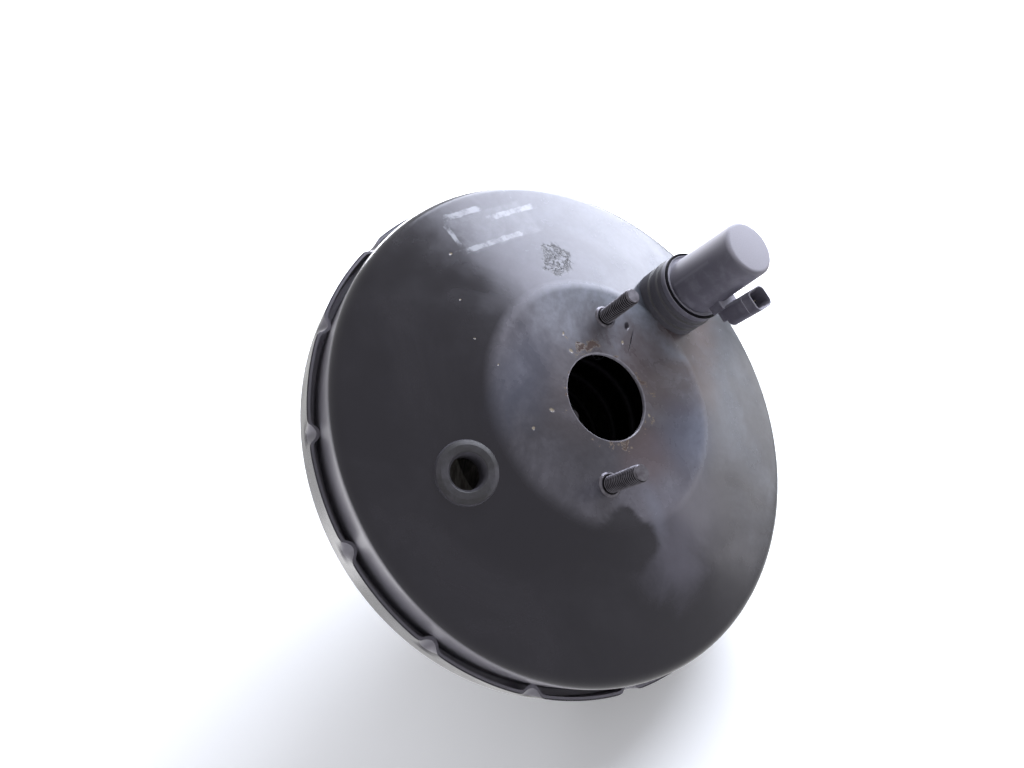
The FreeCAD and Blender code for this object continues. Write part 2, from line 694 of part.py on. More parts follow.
def sensor_grommet(shell):
    """Rubber boss with two grooves that carries the sensor."""
    top = pad_y - boss_height
    bottom = pad_y + sensor_nose_reach - air_gap
    band = boss_height / 4
    inner = sensor_nose_radius
    waist = boss_radius - boss_lip
    corners = [
        (inner, top),
        (waist, top),
        (waist, top + band),
        (boss_radius, top + band),
        (boss_radius, top + 2 * band),
        (waist, top + 2 * band),
        (waist, top + 3 * band),
        (boss_radius, top + 3 * band),
        (boss_radius, bottom - 2 * sheet_steel),
        (inner + sheet_steel, bottom),
        (inner, bottom),
    ]
    blank = turned_body("sensor_grommet_blank", corners)
    place(blank, x=sensor_x, z=sensor_z)
    grommet = doc.addObject("Part::Cut", "sensor_grommet")
    grommet.Base = blank
    grommet.Tool = shell
    return node(grommet, "sensor_grommet")


sensor_top_y = pad_y - sensor_height
sensor_flange_y = pad_y - boss_height
sensor_nose_y = pad_y + sensor_nose_reach
connector_mouth_y = pad_y - connector_top
connector_foot_y = pad_y - connector_foot


def side_block(body, kind, name, x_range, z_half, y_range):
    """Add or cut a straight block on the sensor's side, standing along the Y axis."""
    sketch = body_sketch(body, name + "_outline", "XZ_Plane", -y_range[1])
    corners = [(x_range[0], -z_half), (x_range[1], -z_half), (x_range[1], z_half), (x_range[0], z_half)]
    draw_outline(sketch, corners, {}, True)
    block = body.newObject("PartDesign::" + kind, name)
    block.Profile = sketch
    bind(block, "Length", y_range[1] - y_range[0])
    # A pocket runs against the sketch's normal and a pad along it.
    block.Reversed = kind == "Pocket"
    doc.recompute()


def sensor_body():
    """Travel sensor: tapered cylinder, flange, nose and side connector."""
    bore = plunger_radius + running_gap
    corners = [
        (bore, sensor_nose_y),
        (sensor_nose_radius, sensor_nose_y),
        (sensor_nose_radius, sensor_flange_y),
        (sensor_flange_radius, sensor_flange_y),
        (sensor_flange_radius, sensor_flange_y - sensor_flange_height),
        (sensor_foot_radius, sensor_flange_y - sensor_flange_height),
        (sensor_radius, sensor_top_y),
        (0, sensor_top_y),
        (0, sensor_top_y + sensor_bore_end),
        (bore, sensor_top_y + sensor_bore_end),
    ]
    body = turned_body("sensor_body", corners, {6: sensor_edge})
    half = connector_width / 2
    wall = connector_wall
    inside = connector_offset - connector_depth / 2
    outside = connector_offset + connector_depth / 2
    start = bore + sensor_bore_end
    arm_front_y = connector_foot_y - arm_height / 3
    arm_rear_y = connector_foot_y + arm_height / 2
    side_block(body, "Pad", "arm", (start, inside + wall), half, (arm_front_y, arm_rear_y))
    side_block(body, "Pad", "connector", (inside, outside), half, (connector_mouth_y, connector_foot_y))
    before = body.Shape.Volume
    socket_y = (connector_mouth_y, connector_mouth_y + socket_depth)
    side_block(body, "Pocket", "socket", (inside + wall, outside - wall), half - wall, socket_y)
    if body.Shape.Volume >= before:
        raise RuntimeError("the connector's socket cut nothing")
    place(body, sensor_x, 0, sensor_z, (0, 1, 0), connector_angle)
    return node(body, "sensor_body")


def sensor_terminals():
    """Three terminal blades on the floor of the connector's socket."""
    blades = []
    for i in (-1, 0, 1):
        blade = doc.addObject("Part::Box", "terminal_" + str(i + 1))
        bind(blade, "Length", terminal_thickness)
        bind(blade, "Width", terminal_length)
        bind(blade, "Height", terminal_width)
        floor = connector_mouth_y + socket_depth
        x = connector_offset - terminal_thickness / 2
        z = terminal_pitch * i - terminal_width / 2
        first = "placement(vector(" + text_of(sensor_x) + "; 0; " + text_of(sensor_z) + "); "
        first += "rotation(vector(0; 1; 0); " + text_of(connector_angle) + "))"
        local = "; ".join(text_of(n) for n in (x, floor - terminal_length, z))
        second = " * placement(vector(" + local + "); rotation(vector(0; 1; 0); 0))"
        blade.setExpression("Placement", first + second)
        blades.append(blade)
    return group("sensor_terminals", blades)


def sensor_retaining_ring():
    """Wire ring that sits on the sensor's flange."""
    ring = doc.addObject("Part::Torus", "sensor_retaining_ring")
    bind(ring, "Radius1", sensor_flange_radius - ring_wire)
    bind(ring, "Radius2", ring_wire)
    place_along_y(ring, sensor_x, sensor_flange_y - sensor_flange_height - ring_wire, sensor_z)
    return node(ring, "sensor_retaining_ring")


plate_front_y = -plate_face - plate_thickness


def sensor_plunger():
    """Plunger that follows the diaphragm plate."""
    tip_y = plate_front_y - air_gap
    head_y = tip_y - plunger_head_height
    dome = plunger_head_height / 5
    corners = [
        (0, sensor_nose_y - plunger_inside),
        (plunger_radius, sensor_nose_y - plunger_inside),
        (plunger_radius, head_y),
        (plunger_head_radius, head_y),
        (plunger_head_radius, tip_y - dome),
        (plunger_head_radius - 2 * dome, tip_y),
        (0, tip_y),
    ]
    body = turned_body("sensor_plunger", corners)
    place(body, x=sensor_x, z=sensor_z)
    return node(body, "sensor_plunger")


def spring_on_axis(label, radius, wire, turns, low, high, x=0, z=0, flats=6):
    """A coil spring about a line along Y through (x, z)."""
    spring = coil_spring(label, radius, wire, turns, low, high, flats)
    place_along_y(spring, x, low + wire, z)
    doc.recompute()
    return node(spring, label)


def valve_body():
    """Hub and tail of the power piston with its stepped bore, seat and vacuum passages."""
    bore = guide_radius + running_gap
    corners = [
        (tail_bore, tail_length),
        (tail_radius, tail_length),
        (tail_radius, -hub_rear + hub_cone),
        (hub_radius, -hub_rear),
        (hub_radius, -hub_front),
        (boss_outside, -hub_front),
        (boss_outside, -boss_front + cap_thickness),
        (boss_outside - cap_thickness, -boss_front),
        (disc_radius, -boss_front),
        (disc_radius, -boss_front + disc_recess),
        (bore, -boss_front + disc_recess),
        (bore, -guide_end),
        (chamber_radius, -guide_end),
        (chamber_radius, seat_y),
        (seat_radius, seat_y),
        (seat_radius, seat_y - seat_height),
        (tail_bore, seat_y - seat_height),
    ]
    body = turned_body("valve_body", corners)
    before = body.Shape.Volume
    slot = body.newObject("PartDesign::SubtractiveBox", "key_slot")
    play = (key_slot_width - key_width) / 2
    bind(slot, "Length", hub_radius + play)
    bind(slot, "Width", key_thickness + 2 * play)
    bind(slot, "Height", key_slot_width)
    place(slot, 0, key_centre_y - key_thickness / 2 - play, -key_slot_width / 2)
    doc.recompute()
    if body.Shape.Volume >= before:
        raise RuntimeError("the key slot cut nothing")
    vacuum_passages(body)
    return node(body, "valve_body")


def vacuum_passages(body):
    """Two passages from the moat round the seat to the side of the nose."""
    middle = (seat_radius + tail_bore) / 2
    mouth_y = -hub_front - passage_depth
    length = seat_y - mouth_y
    for name, side in (("upper", 1), ("lower", -1)):
        along = body.newObject("PartDesign::SubtractiveCylinder", "passage_" + name)
        across = body.newObject("PartDesign::SubtractiveCylinder", "passage_mouth_" + name)
        for hole in (along, across):
            bind(hole, "Radius", passage_radius)
        bind(along, "Height", length)
        place_along_y(along, 0, 0, middle * side, start=mouth_y)
        bind(across, "Height", boss_outside)
        place(across, 0, mouth_y, middle * side, (1, 0, 0), 0 if side > 0 else 180)
    doc.recompute()


seat_y = -socket_end - valve_travel
plunger_front_y = -boss_front + disc_recess + valve_travel + air_gap
waist_front_y = plunger_front_y + land_length
waist_rear_y = waist_front_y + waist_length
key_centre_y = waist_rear_y - valve_travel - fit_gap - key_thickness / 2
key_slot_width = key_width + 2 * fit_gap


def valve_plunger():
    """Plunger with its guide land, waist and ball socket."""
    ball_seat_y = -ball_centre - ball_radius
    socket_bore = ball_radius + running_gap
    corners = [
        (0, plunger_front_y),
        (guide_radius, plunger_front_y),
        (guide_radius, waist_front_y),
        (waist_radius, waist_front_y),
        (waist_radius, waist_rear_y),
        (socket_radius, waist_rear_y),
        (socket_radius, -socket_end),
        (socket_bore, -socket_end),
        (socket_bore, ball_seat_y - running_gap),
        (0, ball_seat_y - running_gap),
    ]
    return node(turned_body("valve_plunger", corners), "valve_plunger")


def stop_key():
    """Forked key in the hub's slot that stops the plunger."""
    body = new_body("stop_key")
    sketch = body_sketch(body, "key_outline", "XZ_Plane", -(key_centre_y + key_thickness / 2))
    half = key_width / 2
    fork = waist_radius + air_gap
    start = -waist_radius
    corners = [
        (start, -half),
        (key_reach, -half),
        (key_reach, half),
        (start, half),
        (start, fork),
        (fork, fork),
        (fork, -fork),
        (start, -fork),
    ]
    draw_outline(sketch, corners, {}, True)
    pad = body.newObject("PartDesign::Pad", "key_pad")
    pad.Profile = sketch
    bind(pad, "Length", key_thickness)
    doc.recompute()
    return node(body, "stop_key")


def diaphragm_plate():
    """Pressed plate with a turned rim and a step that seats on the hub."""
    corners = [
        (plate_radius, -plate_face - plate_rim),
        (plate_radius, -plate_face),
        (plate_step_outer, -plate_face),
        (plate_step_inner, -hub_front),
        (boss_outside + fit_gap, -hub_front),
    ]
    bends = {1: 5 * plate_thickness, 2: 2 * plate_thickness, 3: 2 * plate_thickness}
    return node(pressed_sheet("diaphragm_plate", corners, bends, plate_thickness), "diaphragm_plate")


def diaphragm():
    """Rubber diaphragm behind the plate, with its rolling fold and outer bead."""
    corners = [
        (hub_radius + fit_gap, -hub_front),
        (plate_step_inner, -hub_front),
        (plate_step_outer, -plate_face),
        (fold_radius, -plate_face),
        (fold_outer, -fold_depth),
        (fold_outer, bead_rear_y - air_gap - rubber),
    ]
    bends = {1: 2 * plate_thickness, 2: 2 * plate_thickness, 3: 3 * rubber, 4: 3 * rubber}
    membrane = pressed_sheet("diaphragm_membrane", corners, bends, rubber)
    bead = tube_body(
        "diaphragm_bead",
        fold_outer,
        fold_outer + bead_width,
        flange_y + sheet_steel + fit_gap,
        bead_rear_y - fit_gap,
    )
    whole = doc.addObject("Part::Fuse", "diaphragm")
    whole.Base = membrane
    whole.Tool = bead
    return node(whole, "diaphragm")


def reaction_disc():
    disc_y = -boss_front + disc_recess
    corners = [
        (0, disc_y - disc_thickness),
        (disc_radius - fit_gap, disc_y - disc_thickness),
        (disc_radius - fit_gap, disc_y),
        (0, disc_y),
    ]
    return node(turned_body("reaction_disc", corners), "reaction_disc")


rod_seat_y = -boss_front + disc_recess - disc_thickness
rod_end_y = -boss_front - output_rod_length


def output_rod():
    """Mushroom-headed rod with a threaded front end."""
    thread_floor = rod_end_y + tip_thread_length
    corners = [
        (0, rod_seat_y),
        (disc_radius - fit_gap, rod_seat_y),
        (disc_radius - fit_gap, -boss_front),
        (output_rod_radius, -boss_front),
        (output_rod_radius, rod_end_y),
        (tip_thread, rod_end_y),
        (tip_thread, thread_floor),
        (0, thread_floor),
    ]
    return node(turned_body("output_rod", corners), "output_rod")


def adjusting_tip():
    """Domed screw in the output rod's front end."""
    dome = tip_radius / 3
    corners = [
        (0, rod_end_y + tip_thread_length),
        (0, rod_end_y - tip_length),
        (tip_radius - dome, rod_end_y - tip_length),
        (tip_radius, rod_end_y - tip_length + dome),
        (tip_radius, rod_end_y),
        (tip_thread, rod_end_y),
        (tip_thread, rod_end_y + tip_thread_length),
    ]
    return node(turned_body("adjusting_tip", corners), "adjusting_tip")


def output_rod_retainer():
    """Cap over the valve body's nose that keeps the output rod in."""
    outside = boss_outside + fit_gap + cap_thickness
    front = -boss_front - fit_gap - cap_thickness
    corners = [(output_rod_radius + fit_gap, front), (outside, front), (outside, front + cap_height)]
    return node(
        pressed_sheet("output_rod_retainer", corners, {1: 2 * cap_thickness}, cap_thickness),
        "output_rod_retainer",
    )


poppet_front_y = -socket_end + air_gap
poppet_rear_y = poppet_front_y + poppet_length
retainer_rear_y = poppet_rear_y + retainer_steel


def poppet_valve():
    """Rubber poppet: lip, bellows and clamped rear flange."""
    wall = poppet_neck - poppet_wall
    corners = [
        (poppet_bore, poppet_front_y),
        (poppet_lip_radius, poppet_front_y),
        (poppet_lip_radius, poppet_front_y + poppet_lip),
        (poppet_neck, poppet_front_y + poppet_lip),
        (poppet_neck, poppet_rear_y - poppet_flange),
        (tail_bore - fit_gap, poppet_rear_y - poppet_flange),
        (tail_bore - fit_gap, poppet_rear_y),
        (wall, poppet_rear_y),
        (wall, poppet_front_y + poppet_lip),
        (poppet_bore, poppet_front_y + poppet_lip),
    ]
    return node(turned_body("poppet_valve", corners), "poppet_valve")


def input_rod():
    """Rod with its ball end, spring collar and threaded rear end."""
    body = new_body("input_rod")
    ball = body.newObject("PartDesign::AdditiveSphere", "rod_ball")
    bind(ball, "Radius", ball_radius)
    place(ball, y=-ball_centre)
    doc.recompute()
    sketch = body_sketch(body, "rod_outline", "XY_Plane")
    corners = [
        (0, -ball_centre),
        (ball_neck, -ball_centre),
        (ball_neck, -socket_end),
        (rod_radius, -socket_end + rod_radius),
        (rod_radius, rod_collar_place),
        (rod_collar_radius, rod_collar_place),
        (rod_collar_radius, rod_collar_place + rod_collar_height),
        (rod_radius, rod_collar_place + rod_collar_height),
        (rod_radius, nut_place - nut_height / 2),
        (rod_thread_radius, nut_place),
        (rod_thread_radius, clevis_floor_y),
        (0, clevis_floor_y),
    ]
    draw_outline(sketch, corners, {}, True)
    turning = body.newObject("PartDesign::Revolution", "rod_turning")
    turning.Profile = sketch
    turning.ReferenceAxis = (sketch, ["V_Axis"])
    turning.Angle = 360
    doc.recompute()
    return node(body, "input_rod")


barrel_y = nut_place + nut_height
clevis_floor_y = barrel_y + clevis_barrel_length
pin_y = clevis_floor_y + clevis_reach


def lock_nut():
    """Hexagon nut that locks the clevis."""
    body = new_body("lock_nut")
    sketch = body_sketch(body, "nut_outline", "XZ_Plane", -barrel_y)
    across = nut_width / 2
    corner = across / math.cos(math.radians(30))
    corners = []
    for i in range(6):
        turn = math.radians(60 * i)
        corners.append((corner * round(math.cos(turn), 12), corner * round(math.sin(turn), 12)))
    draw_outline(sketch, corners, {}, True)
    pad = body.newObject("PartDesign::Pad", "nut_pad")
    pad.Profile = sketch
    bind(pad, "Length", nut_height)
    doc.recompute()
    round_hole(body, "nut_bore", rod_thread_radius, 4 * nut_height, 0, nut_place, 0)
    return node(body, "lock_nut")


def clevis():
    """Fork with a threaded barrel and a cross hole for the pedal pin."""
    body = turned_body("clevis", [
        (rod_thread_radius, barrel_y),
        (clevis_barrel_radius, barrel_y),
        (clevis_barrel_radius, clevis_floor_y),
        (rod_thread_radius, clevis_floor_y),
    ])
    half_width = clevis_gap / 2 + clevis_arm
    sketch = body_sketch(body, "fork_outline", "YZ_Plane", -half_width)
    base_y = clevis_floor_y - clevis_arm
    end_y = pin_y + clevis_end_radius
    bend = clevis_end_radius - running_gap
    corners = [
        (base_y, -clevis_end_radius),
        (end_y, -clevis_end_radius),
        (end_y, clevis_end_radius),
        (base_y, clevis_end_radius),
    ]
    draw_outline(sketch, corners, {1: bend, 2: bend, 0: clevis_arm / 2, 3: clevis_arm / 2}, True)
    fork = body.newObject("PartDesign::Pad", "fork")
    fork.Profile = sketch
    bind(fork, "Length", 2 * half_width)
    doc.recompute()
    before = body.Shape.Volume
    gap = body.newObject("PartDesign::SubtractiveBox", "fork_gap")
    bind(gap, "Length", clevis_gap)
    bind(gap, "Width", 4 * clevis_end_radius)
    bind(gap, "Height", 4 * clevis_end_radius)
    place(gap, -clevis_gap / 2, clevis_floor_y, -2 * clevis_end_radius)
    drill = body.newObject("PartDesign::SubtractiveCylinder", "pin_hole")
    bind(drill, "Radius", clevis_pin)
    bind(drill, "Height", 4 * half_width)
    place(drill, -2 * half_width, pin_y, 0, (0, 1, 0), 90)
    round_hole(body, "rod_bore", rod_thread_radius, 4 * clevis_barrel_length, 0, barrel_y, 0)
    if body.Shape.Volume >= before:
        raise RuntimeError("the fork was not cut")
    return node(body, "clevis")


bush_front_y = washer_place + washer_thickness
seal_front_y = bush_front_y + bush_length
seal_rear_y = neck_length - sheet_steel


def rear_seal():
    """Lip seal between the neck and the valve body's tail."""
    lip = tail_radius + air_gap
    depth = seal_rear_y - seal_front_y
    corners = [
        (lip + seal_relief, seal_front_y),
        (neck_bore, seal_front_y),
        (neck_bore, seal_rear_y - sheet_steel),
        (neck_bore - sheet_steel, seal_rear_y),
        (neck_hole, seal_rear_y),
        (lip, seal_rear_y - depth / 4),
        (lip, seal_rear_y - depth / 2),
        (neck_hole, seal_rear_y - depth / 2),
        (neck_hole, seal_front_y + depth / 5),
        (lip + seal_relief, seal_front_y + depth / 5),
    ]
    return node(turned_body("rear_seal", corners), "rear_seal")


def dust_boot():
    """Bellows from the neck to the input rod."""
    outside = neck_radius + boot_rubber
    end = rod_radius + air_gap + boot_rubber
    station = neck_length + boot_lead
    corners = [(outside, boot_start), (outside, station)]
    station = station + boot_half_fold / 2
    for fold in range(3):
        corners.append((outside - fold * boot_fold_fall - boot_fold_depth, station))
        station = station + boot_half_fold
        if fold < 2:
            corners.append((outside - (fold + 1) * boot_fold_fall, station))
            station = station + boot_half_fold
    station = station - boot_half_fold / 2
    corners += [(end, station), (end, boot_end)]
    crest = 0.8 * boot_rubber
    valley = 0.4 * boot_rubber
    bends = {1: 1.4 * boot_rubber, 2: valley, 3: crest, 4: valley, 5: crest, 6: valley, 7: crest}
    return node(pressed_sheet("dust_boot", corners, bends, boot_rubber), "dust_boot")


def ring_node(label, bore, radius, low, high):
    """A piece that is a plain ring about the Y axis."""
    return node(tube_body(label, bore, radius, low, high), label)


def springs():
    """Return spring, sensor spring and the control valve's two springs."""
    spring_on_axis(
        "return_spring",
        spring_radius,
        spring_wire,
        spring_turns,
        front_plate_rear_y + air_gap,
        -hub_front - plate_thickness,
        flats=8,
    )
    spring_on_axis(
        "sensor_spring",
        plunger_radius + 4 * running_gap + ring_wire,
        ring_wire,
        sensor_spring_turns,
        sensor_nose_y + air_gap,
        plate_front_y - air_gap - plunger_head_height,
        sensor_x,
        sensor_z,
    )
    spring_on_axis(
        "poppet_spring",
        poppet_neck + 3 * valve_spring_wire,
        valve_spring_wire,
        valve_spring_turns,
        poppet_front_y + poppet_lip,
        poppet_rear_y - poppet_flange,
    )
    spring_on_axis(
        "rod_return_spring",
        rod_collar_radius - rod_spring_wire,
        rod_spring_wire,
        rod_spring_turns,
        retainer_rear_y,
        rod_collar_place - air_gap,
    )


def rings():
    """Plain rings: poppet retainer, air filter, silencer, guide bush and seal retainer."""
    filter_rear_y = tail_length - fit_gap
    silencer_rear_y = filter_rear_y - filter_height
    silencer_front_y = silencer_rear_y - silencer_height
    ring_node("poppet_retainer", poppet_neck, tail_bore, poppet_rear_y, retainer_rear_y)
    ring_node("air_filter", filter_bore, tail_bore, silencer_rear_y, filter_rear_y)
    ring_node("silencer", filter_bore, tail_bore, silencer_front_y, silencer_rear_y)
    ring_node("guide_bush", tail_radius + running_gap, neck_bore, bush_front_y, seal_front_y)
    ring_node("seal_retainer", tail_radius + seal_relief, neck_bore, washer_place, bush_front_y)


def build():
    """Make every piece."""
    shell = front_shell()
    rear_shell()
    front_stud_plate()
    rear_stud_plate()
    master_cylinder_studs()
    bulkhead_studs()
    vacuum_grommet(shell)
    sensor_grommet(shell)
    sensor_body()
    sensor_terminals()
    sensor_retaining_ring()
    sensor_plunger()
    valve_body()
    diaphragm_plate()
    diaphragm()
    reaction_disc()
    output_rod()
    adjusting_tip()
    output_rod_retainer()
    stop_key()
    valve_plunger()
    poppet_valve()
    input_rod()
    lock_nut()
    clevis()
    rear_seal()
    dust_boot()
    springs()
    rings()


def check():
    """Refuse to go on if any object failed or any piece is not a sound solid."""
    doc.recompute()
    for item in doc.Objects:
        if "Invalid" in item.State or "Error" in item.State:
            raise RuntimeError("failed object: " + item.Name + " " + str(item.State))
    for item in nodes:
        if item.Shape.isNull() or not item.Shape.isValid() or not item.Shape.Solids:
            raise RuntimeError("bad shape: " + item.Label)


build()
check()
os.makedirs("parts", exist_ok=True)
for item in nodes:
    item.Shape.exportStep(os.path.join("parts", item.Label + ".step"))
print(len(nodes), "pieces written")
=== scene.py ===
"""A vacuum brake booster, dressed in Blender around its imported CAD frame.

The frame's row is used throughout: the booster's axis is Y, +Y points to the pedal,
and X runs along the line of the two master-cylinder studs.
"""

import json
import math
from functools import partial
from types import SimpleNamespace

import bmesh
import bpy
from mathutils import Matrix, Vector


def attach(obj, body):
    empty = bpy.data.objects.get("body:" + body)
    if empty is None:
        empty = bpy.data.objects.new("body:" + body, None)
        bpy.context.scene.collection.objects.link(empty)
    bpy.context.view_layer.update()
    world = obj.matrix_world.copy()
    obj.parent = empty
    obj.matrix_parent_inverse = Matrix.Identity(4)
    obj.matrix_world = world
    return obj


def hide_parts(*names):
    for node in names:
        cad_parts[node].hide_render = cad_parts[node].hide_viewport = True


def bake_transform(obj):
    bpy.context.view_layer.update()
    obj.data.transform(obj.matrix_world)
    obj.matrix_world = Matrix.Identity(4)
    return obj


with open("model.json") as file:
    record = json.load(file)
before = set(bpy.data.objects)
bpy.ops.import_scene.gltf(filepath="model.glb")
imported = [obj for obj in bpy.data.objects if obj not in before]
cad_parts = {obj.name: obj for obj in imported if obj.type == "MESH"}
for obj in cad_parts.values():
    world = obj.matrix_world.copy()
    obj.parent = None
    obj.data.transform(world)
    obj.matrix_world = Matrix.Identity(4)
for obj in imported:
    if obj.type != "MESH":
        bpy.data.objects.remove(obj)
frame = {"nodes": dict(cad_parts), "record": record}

bl_info = {
    "name": "Brake booster",
    "version": (1, 0, 0),
    "blender": (4, 5, 0),
    "location": "View3D > Sidebar > Booster",
    "description": "Draws the pieces of a vacuum brake booster around its packed CAD frame",
    "category": "Object",
}

MM = 0.001
FULL_TURN = 2 * math.pi

# The booster lies on its back, tipped on to the rim of its rear bowl.
FLOOR_NORMAL = Vector((0.547, -0.740, 0.391)).normalized()
FLOOR_LEVEL = -0.0655


def linear(colour):
    """Turn an sRGB hex colour into the linear values that Blender works with."""
    parts = [int(colour[i : i + 2], 16) / 255 for i in (1, 3, 5)]
    return tuple(c / 12.92 if c <= 0.04045 else ((c + 0.055) / 1.055) ** 2.4 for c in parts)


def rgba(colour):
    """A colour as a shader socket takes it."""
    return (*linear(colour), 1.0)


def length(name, millimetres, text):
    """A length that a user may change."""
    return bpy.props.FloatProperty(name=name, description=text, default=millimetres * MM, unit="LENGTH")


def count(name, number, text):
    """A whole number that a user may change."""
    return bpy.props.IntProperty(name=name, description=text, default=number, min=1)


def turn(name, degrees, text):
    """An angle that a user may change."""
    return bpy.props.FloatProperty(
        name=name, description=text, default=math.radians(degrees), subtype="ANGLE"
    )


def tint(name, colour, text):
    """A colour that a user may change."""
    return bpy.props.FloatVectorProperty(
        name=name, description=text, default=linear(colour), subtype="COLOR", min=0, max=1
    )


class BoosterSizes(bpy.types.PropertyGroup):
    """Sizes of the booster's pieces."""

    sheet: length("Shell steel", 1.6, "Thickness of both pressed shells")
    pad: length("Pad distance", 100, "Front pad to bulkhead face")
    pad_radius: length("Pad radius", 58, "Flat of the front pad")
    hole: length("Front hole", 21.6, "Radius of the hole for the master cylinder")
    wall: length("Side wall", 126, "Outside radius of the front shell's wall")
    cone: length("Cone fall", 14, "Fall of the front cone")
    collar: length("Collar", 131, "Outside radius of the crimped collar")
    collar_front: length("Collar front", 66, "Collar's front edge to bulkhead face")
    collar_length: length("Collar length", 17.6, "Collar along the axis")
    crimp_length: length("Crimp length", 9, "Length of one crimp")
    crimps: count("Crimps", 16, "Crimps round the collar")
    crimp_turn: turn("First crimp", 14, "Angle of the first crimp from -Z to +X")
    bowl: length("Rear bowl", 121.6, "Outside radius of the rear bowl")
    neck: length("Neck", 32, "Outside radius of the rear neck")
    neck_length: length("Neck length", 16, "Neck beyond the bulkhead face")
    stud: length("Stud", 4, "Radius of the M8 studs")
    stud_pitch: length("Thread pitch", 1.25, "Pitch of the M8 thread")
    stud_foot: length("Stud foot", 6, "Radius of a stud's swaged foot")
    stud_head: length("Stud head", 7.6, "Radius of a stud's welded head")
    front_spacing: length("Front studs", 85, "Between the two master-cylinder studs")
    front_stud: length("Front stud", 23.5, "Front studs beyond the pad")
    rear_spacing: length("Bulkhead studs", 72, "Side of the bulkhead studs' square")
    rear_stud: length("Bulkhead stud", 26, "Bulkhead studs beyond the face")
    port_x: length("Port X", -46, "Vacuum grommet along X")
    port_z: length("Port Z", 66.8, "Vacuum grommet along Z")
    port_bore: length("Port bore", 7.3, "Bore of the vacuum grommet")
    port_hole: length("Port hole", 10.6, "Radius of the shell's hole for the grommet")
    port_flange: length("Port flange", 13.8, "Flange of the vacuum grommet")
    sensor_x: length("Sensor X", 65.3, "Travel sensor along X")
    sensor_z: length("Sensor Z", -44.5, "Travel sensor along Z")
    sensor_hole: length("Sensor hole", 13, "Radius of the shell's hole for the sensor")
    sensor_seat: length("Sensor seat", 13, "Top of the rubber boss above the pad")
    sensor_height: length("Sensor height", 55, "Sensor's end above the pad")
    sensor_radius: length("Sensor radius", 13.8, "Sensor at its end")
    boss: length("Sensor boss", 19.4, "Radius of the rubber boss under the sensor")
    connector_turn: turn("Connector", 142, "Angle of the side connector")
    connector_offset: length("Connector offset", 22.65, "Sensor's axis to the connector's axis")


class BoosterColours(bpy.types.PropertyGroup):
    """Colours of the booster's finishes."""

    enamel: tint("Enamel", "#0e0d12", "Black stoved enamel")
    # Its colour serves both the dust and the painted light of the film on the lit side.
    film_and_light: tint("Dust film", "#8f95a1", "Dried dirt on the enamel")
    rust: tint("Rust", "#4b382e", "Rust under chipped enamel")
    steel: tint("Steel", "#6b6866", "Cold-rolled steel, oiled and dulled")
    zinc: tint("Zinc", "#65636a", "Zinc plate, dulled")
    rubber: tint("Rubber", "#1e1c21", "Moulded black rubber")
    nylon: tint("Nylon", "#57545f", "Sensor's moulded nylon")
    floor: tint("Floor", "#f4f4f5", "Pale floor")


def millimetres(context):
    """The sizes as plain numbers, lengths in millimetres and angles in radians."""
    group = context.scene.booster_sizes
    numbers = {}
    for prop in group.bl_rna.properties:
        if prop.type == "FLOAT":
            value = getattr(group, prop.identifier)
            numbers[prop.identifier] = round(value / MM, 4) if prop.unit == "LENGTH" else value
        elif prop.type == "INT":
            numbers[prop.identifier] = getattr(group, prop.identifier)
    return SimpleNamespace(**numbers)


# Meshes


def bent(corners, bends, steps):
    """Points of a path of straight runs whose corners are rounded by bends {corner: radius}."""
    points = []
    for i, (x, y) in enumerate(corners):
        if i not in bends:
            points.append((x, y))
            continue
        here = Vector((x, y))
        back = (Vector(corners[i - 1]) - here).normalized()
        ahead = (Vector(corners[(i + 1) % len(corners)]) - here).normalized()
        half = back.angle(ahead) / 2
        middle = here + (back + ahead).normalized() * (bends[i] / math.sin(half))
        first = here + back * (bends[i] / math.tan(half)) - middle
        sweep = math.copysign(math.pi - 2 * half, back.y * ahead.x - back.x * ahead.y)
        for k in range(steps + 1):
            arm = first.copy()
            arm.rotate(Matrix.Rotation(sweep * k / steps, 2))
            points.append(tuple(middle + arm))
    return points


def divided(points, longest):
    """The same open path with no run longer than a given length."""
    result = []
    for first, second in zip(points, points[1:]):
        a, b = Vector(first), Vector(second)
        parts = max(1, math.ceil((b - a).length / longest))
        result += [tuple(a.lerp(b, k / parts)) for k in range(parts)]
    return result + [points[-1]]


def sheet_outline(path, thickness, longest=6.0):
    """Closed outline of a sheet of even thickness on the left of a path."""
    path = divided(path, longest)
    inner = []
    for i, point in enumerate(path):
        here = Vector(point)
        before = (here - Vector(path[i - 1])).normalized() if i else None
        after = (Vector(path[i + 1]) - here).normalized() if i < len(path) - 1 else None
        along = ((before or after) + (after or before)).normalized()
        side = Vector((-along.y, along.x))
        mitre = side.dot(Vector((-(before or after).y, (before or after).x)))
        inner.append(tuple(here + side * (thickness / max(mitre, 0.5))))
    return path + inner[::-1]


def surface(name, loops, wrap=False, smooth=35):
    """A mesh object from equal loops of points, in millimetres, capped or wrapped round."""
    mesh = bpy.data.meshes.new(name)
    shape = bmesh.new()
    rings = [[shape.verts.new(Vector(p) * MM) for p in loop] for loop in loops]
    size = len(rings[0])
    pairs = list(zip(rings, rings[1:])) + ([(rings[-1], rings[0])] if wrap else [])
    for a, b in pairs:
        for i in range(size):
            j = (i + 1) % size
            shape.faces.new((a[i], a[j], b[j], b[i]))
    if not wrap:
        shape.faces.new(rings[0][::-1])
        shape.faces.new(rings[-1])
    bmesh.ops.remove_doubles(shape, verts=shape.verts, dist=1e-6)
    bmesh.ops.dissolve_degenerate(shape, edges=shape.edges, dist=1e-7)
    bmesh.ops.recalc_face_normals(shape, faces=shape.faces)
    shape.to_mesh(mesh)
    shape.free()
    return finished(name, mesh, smooth)


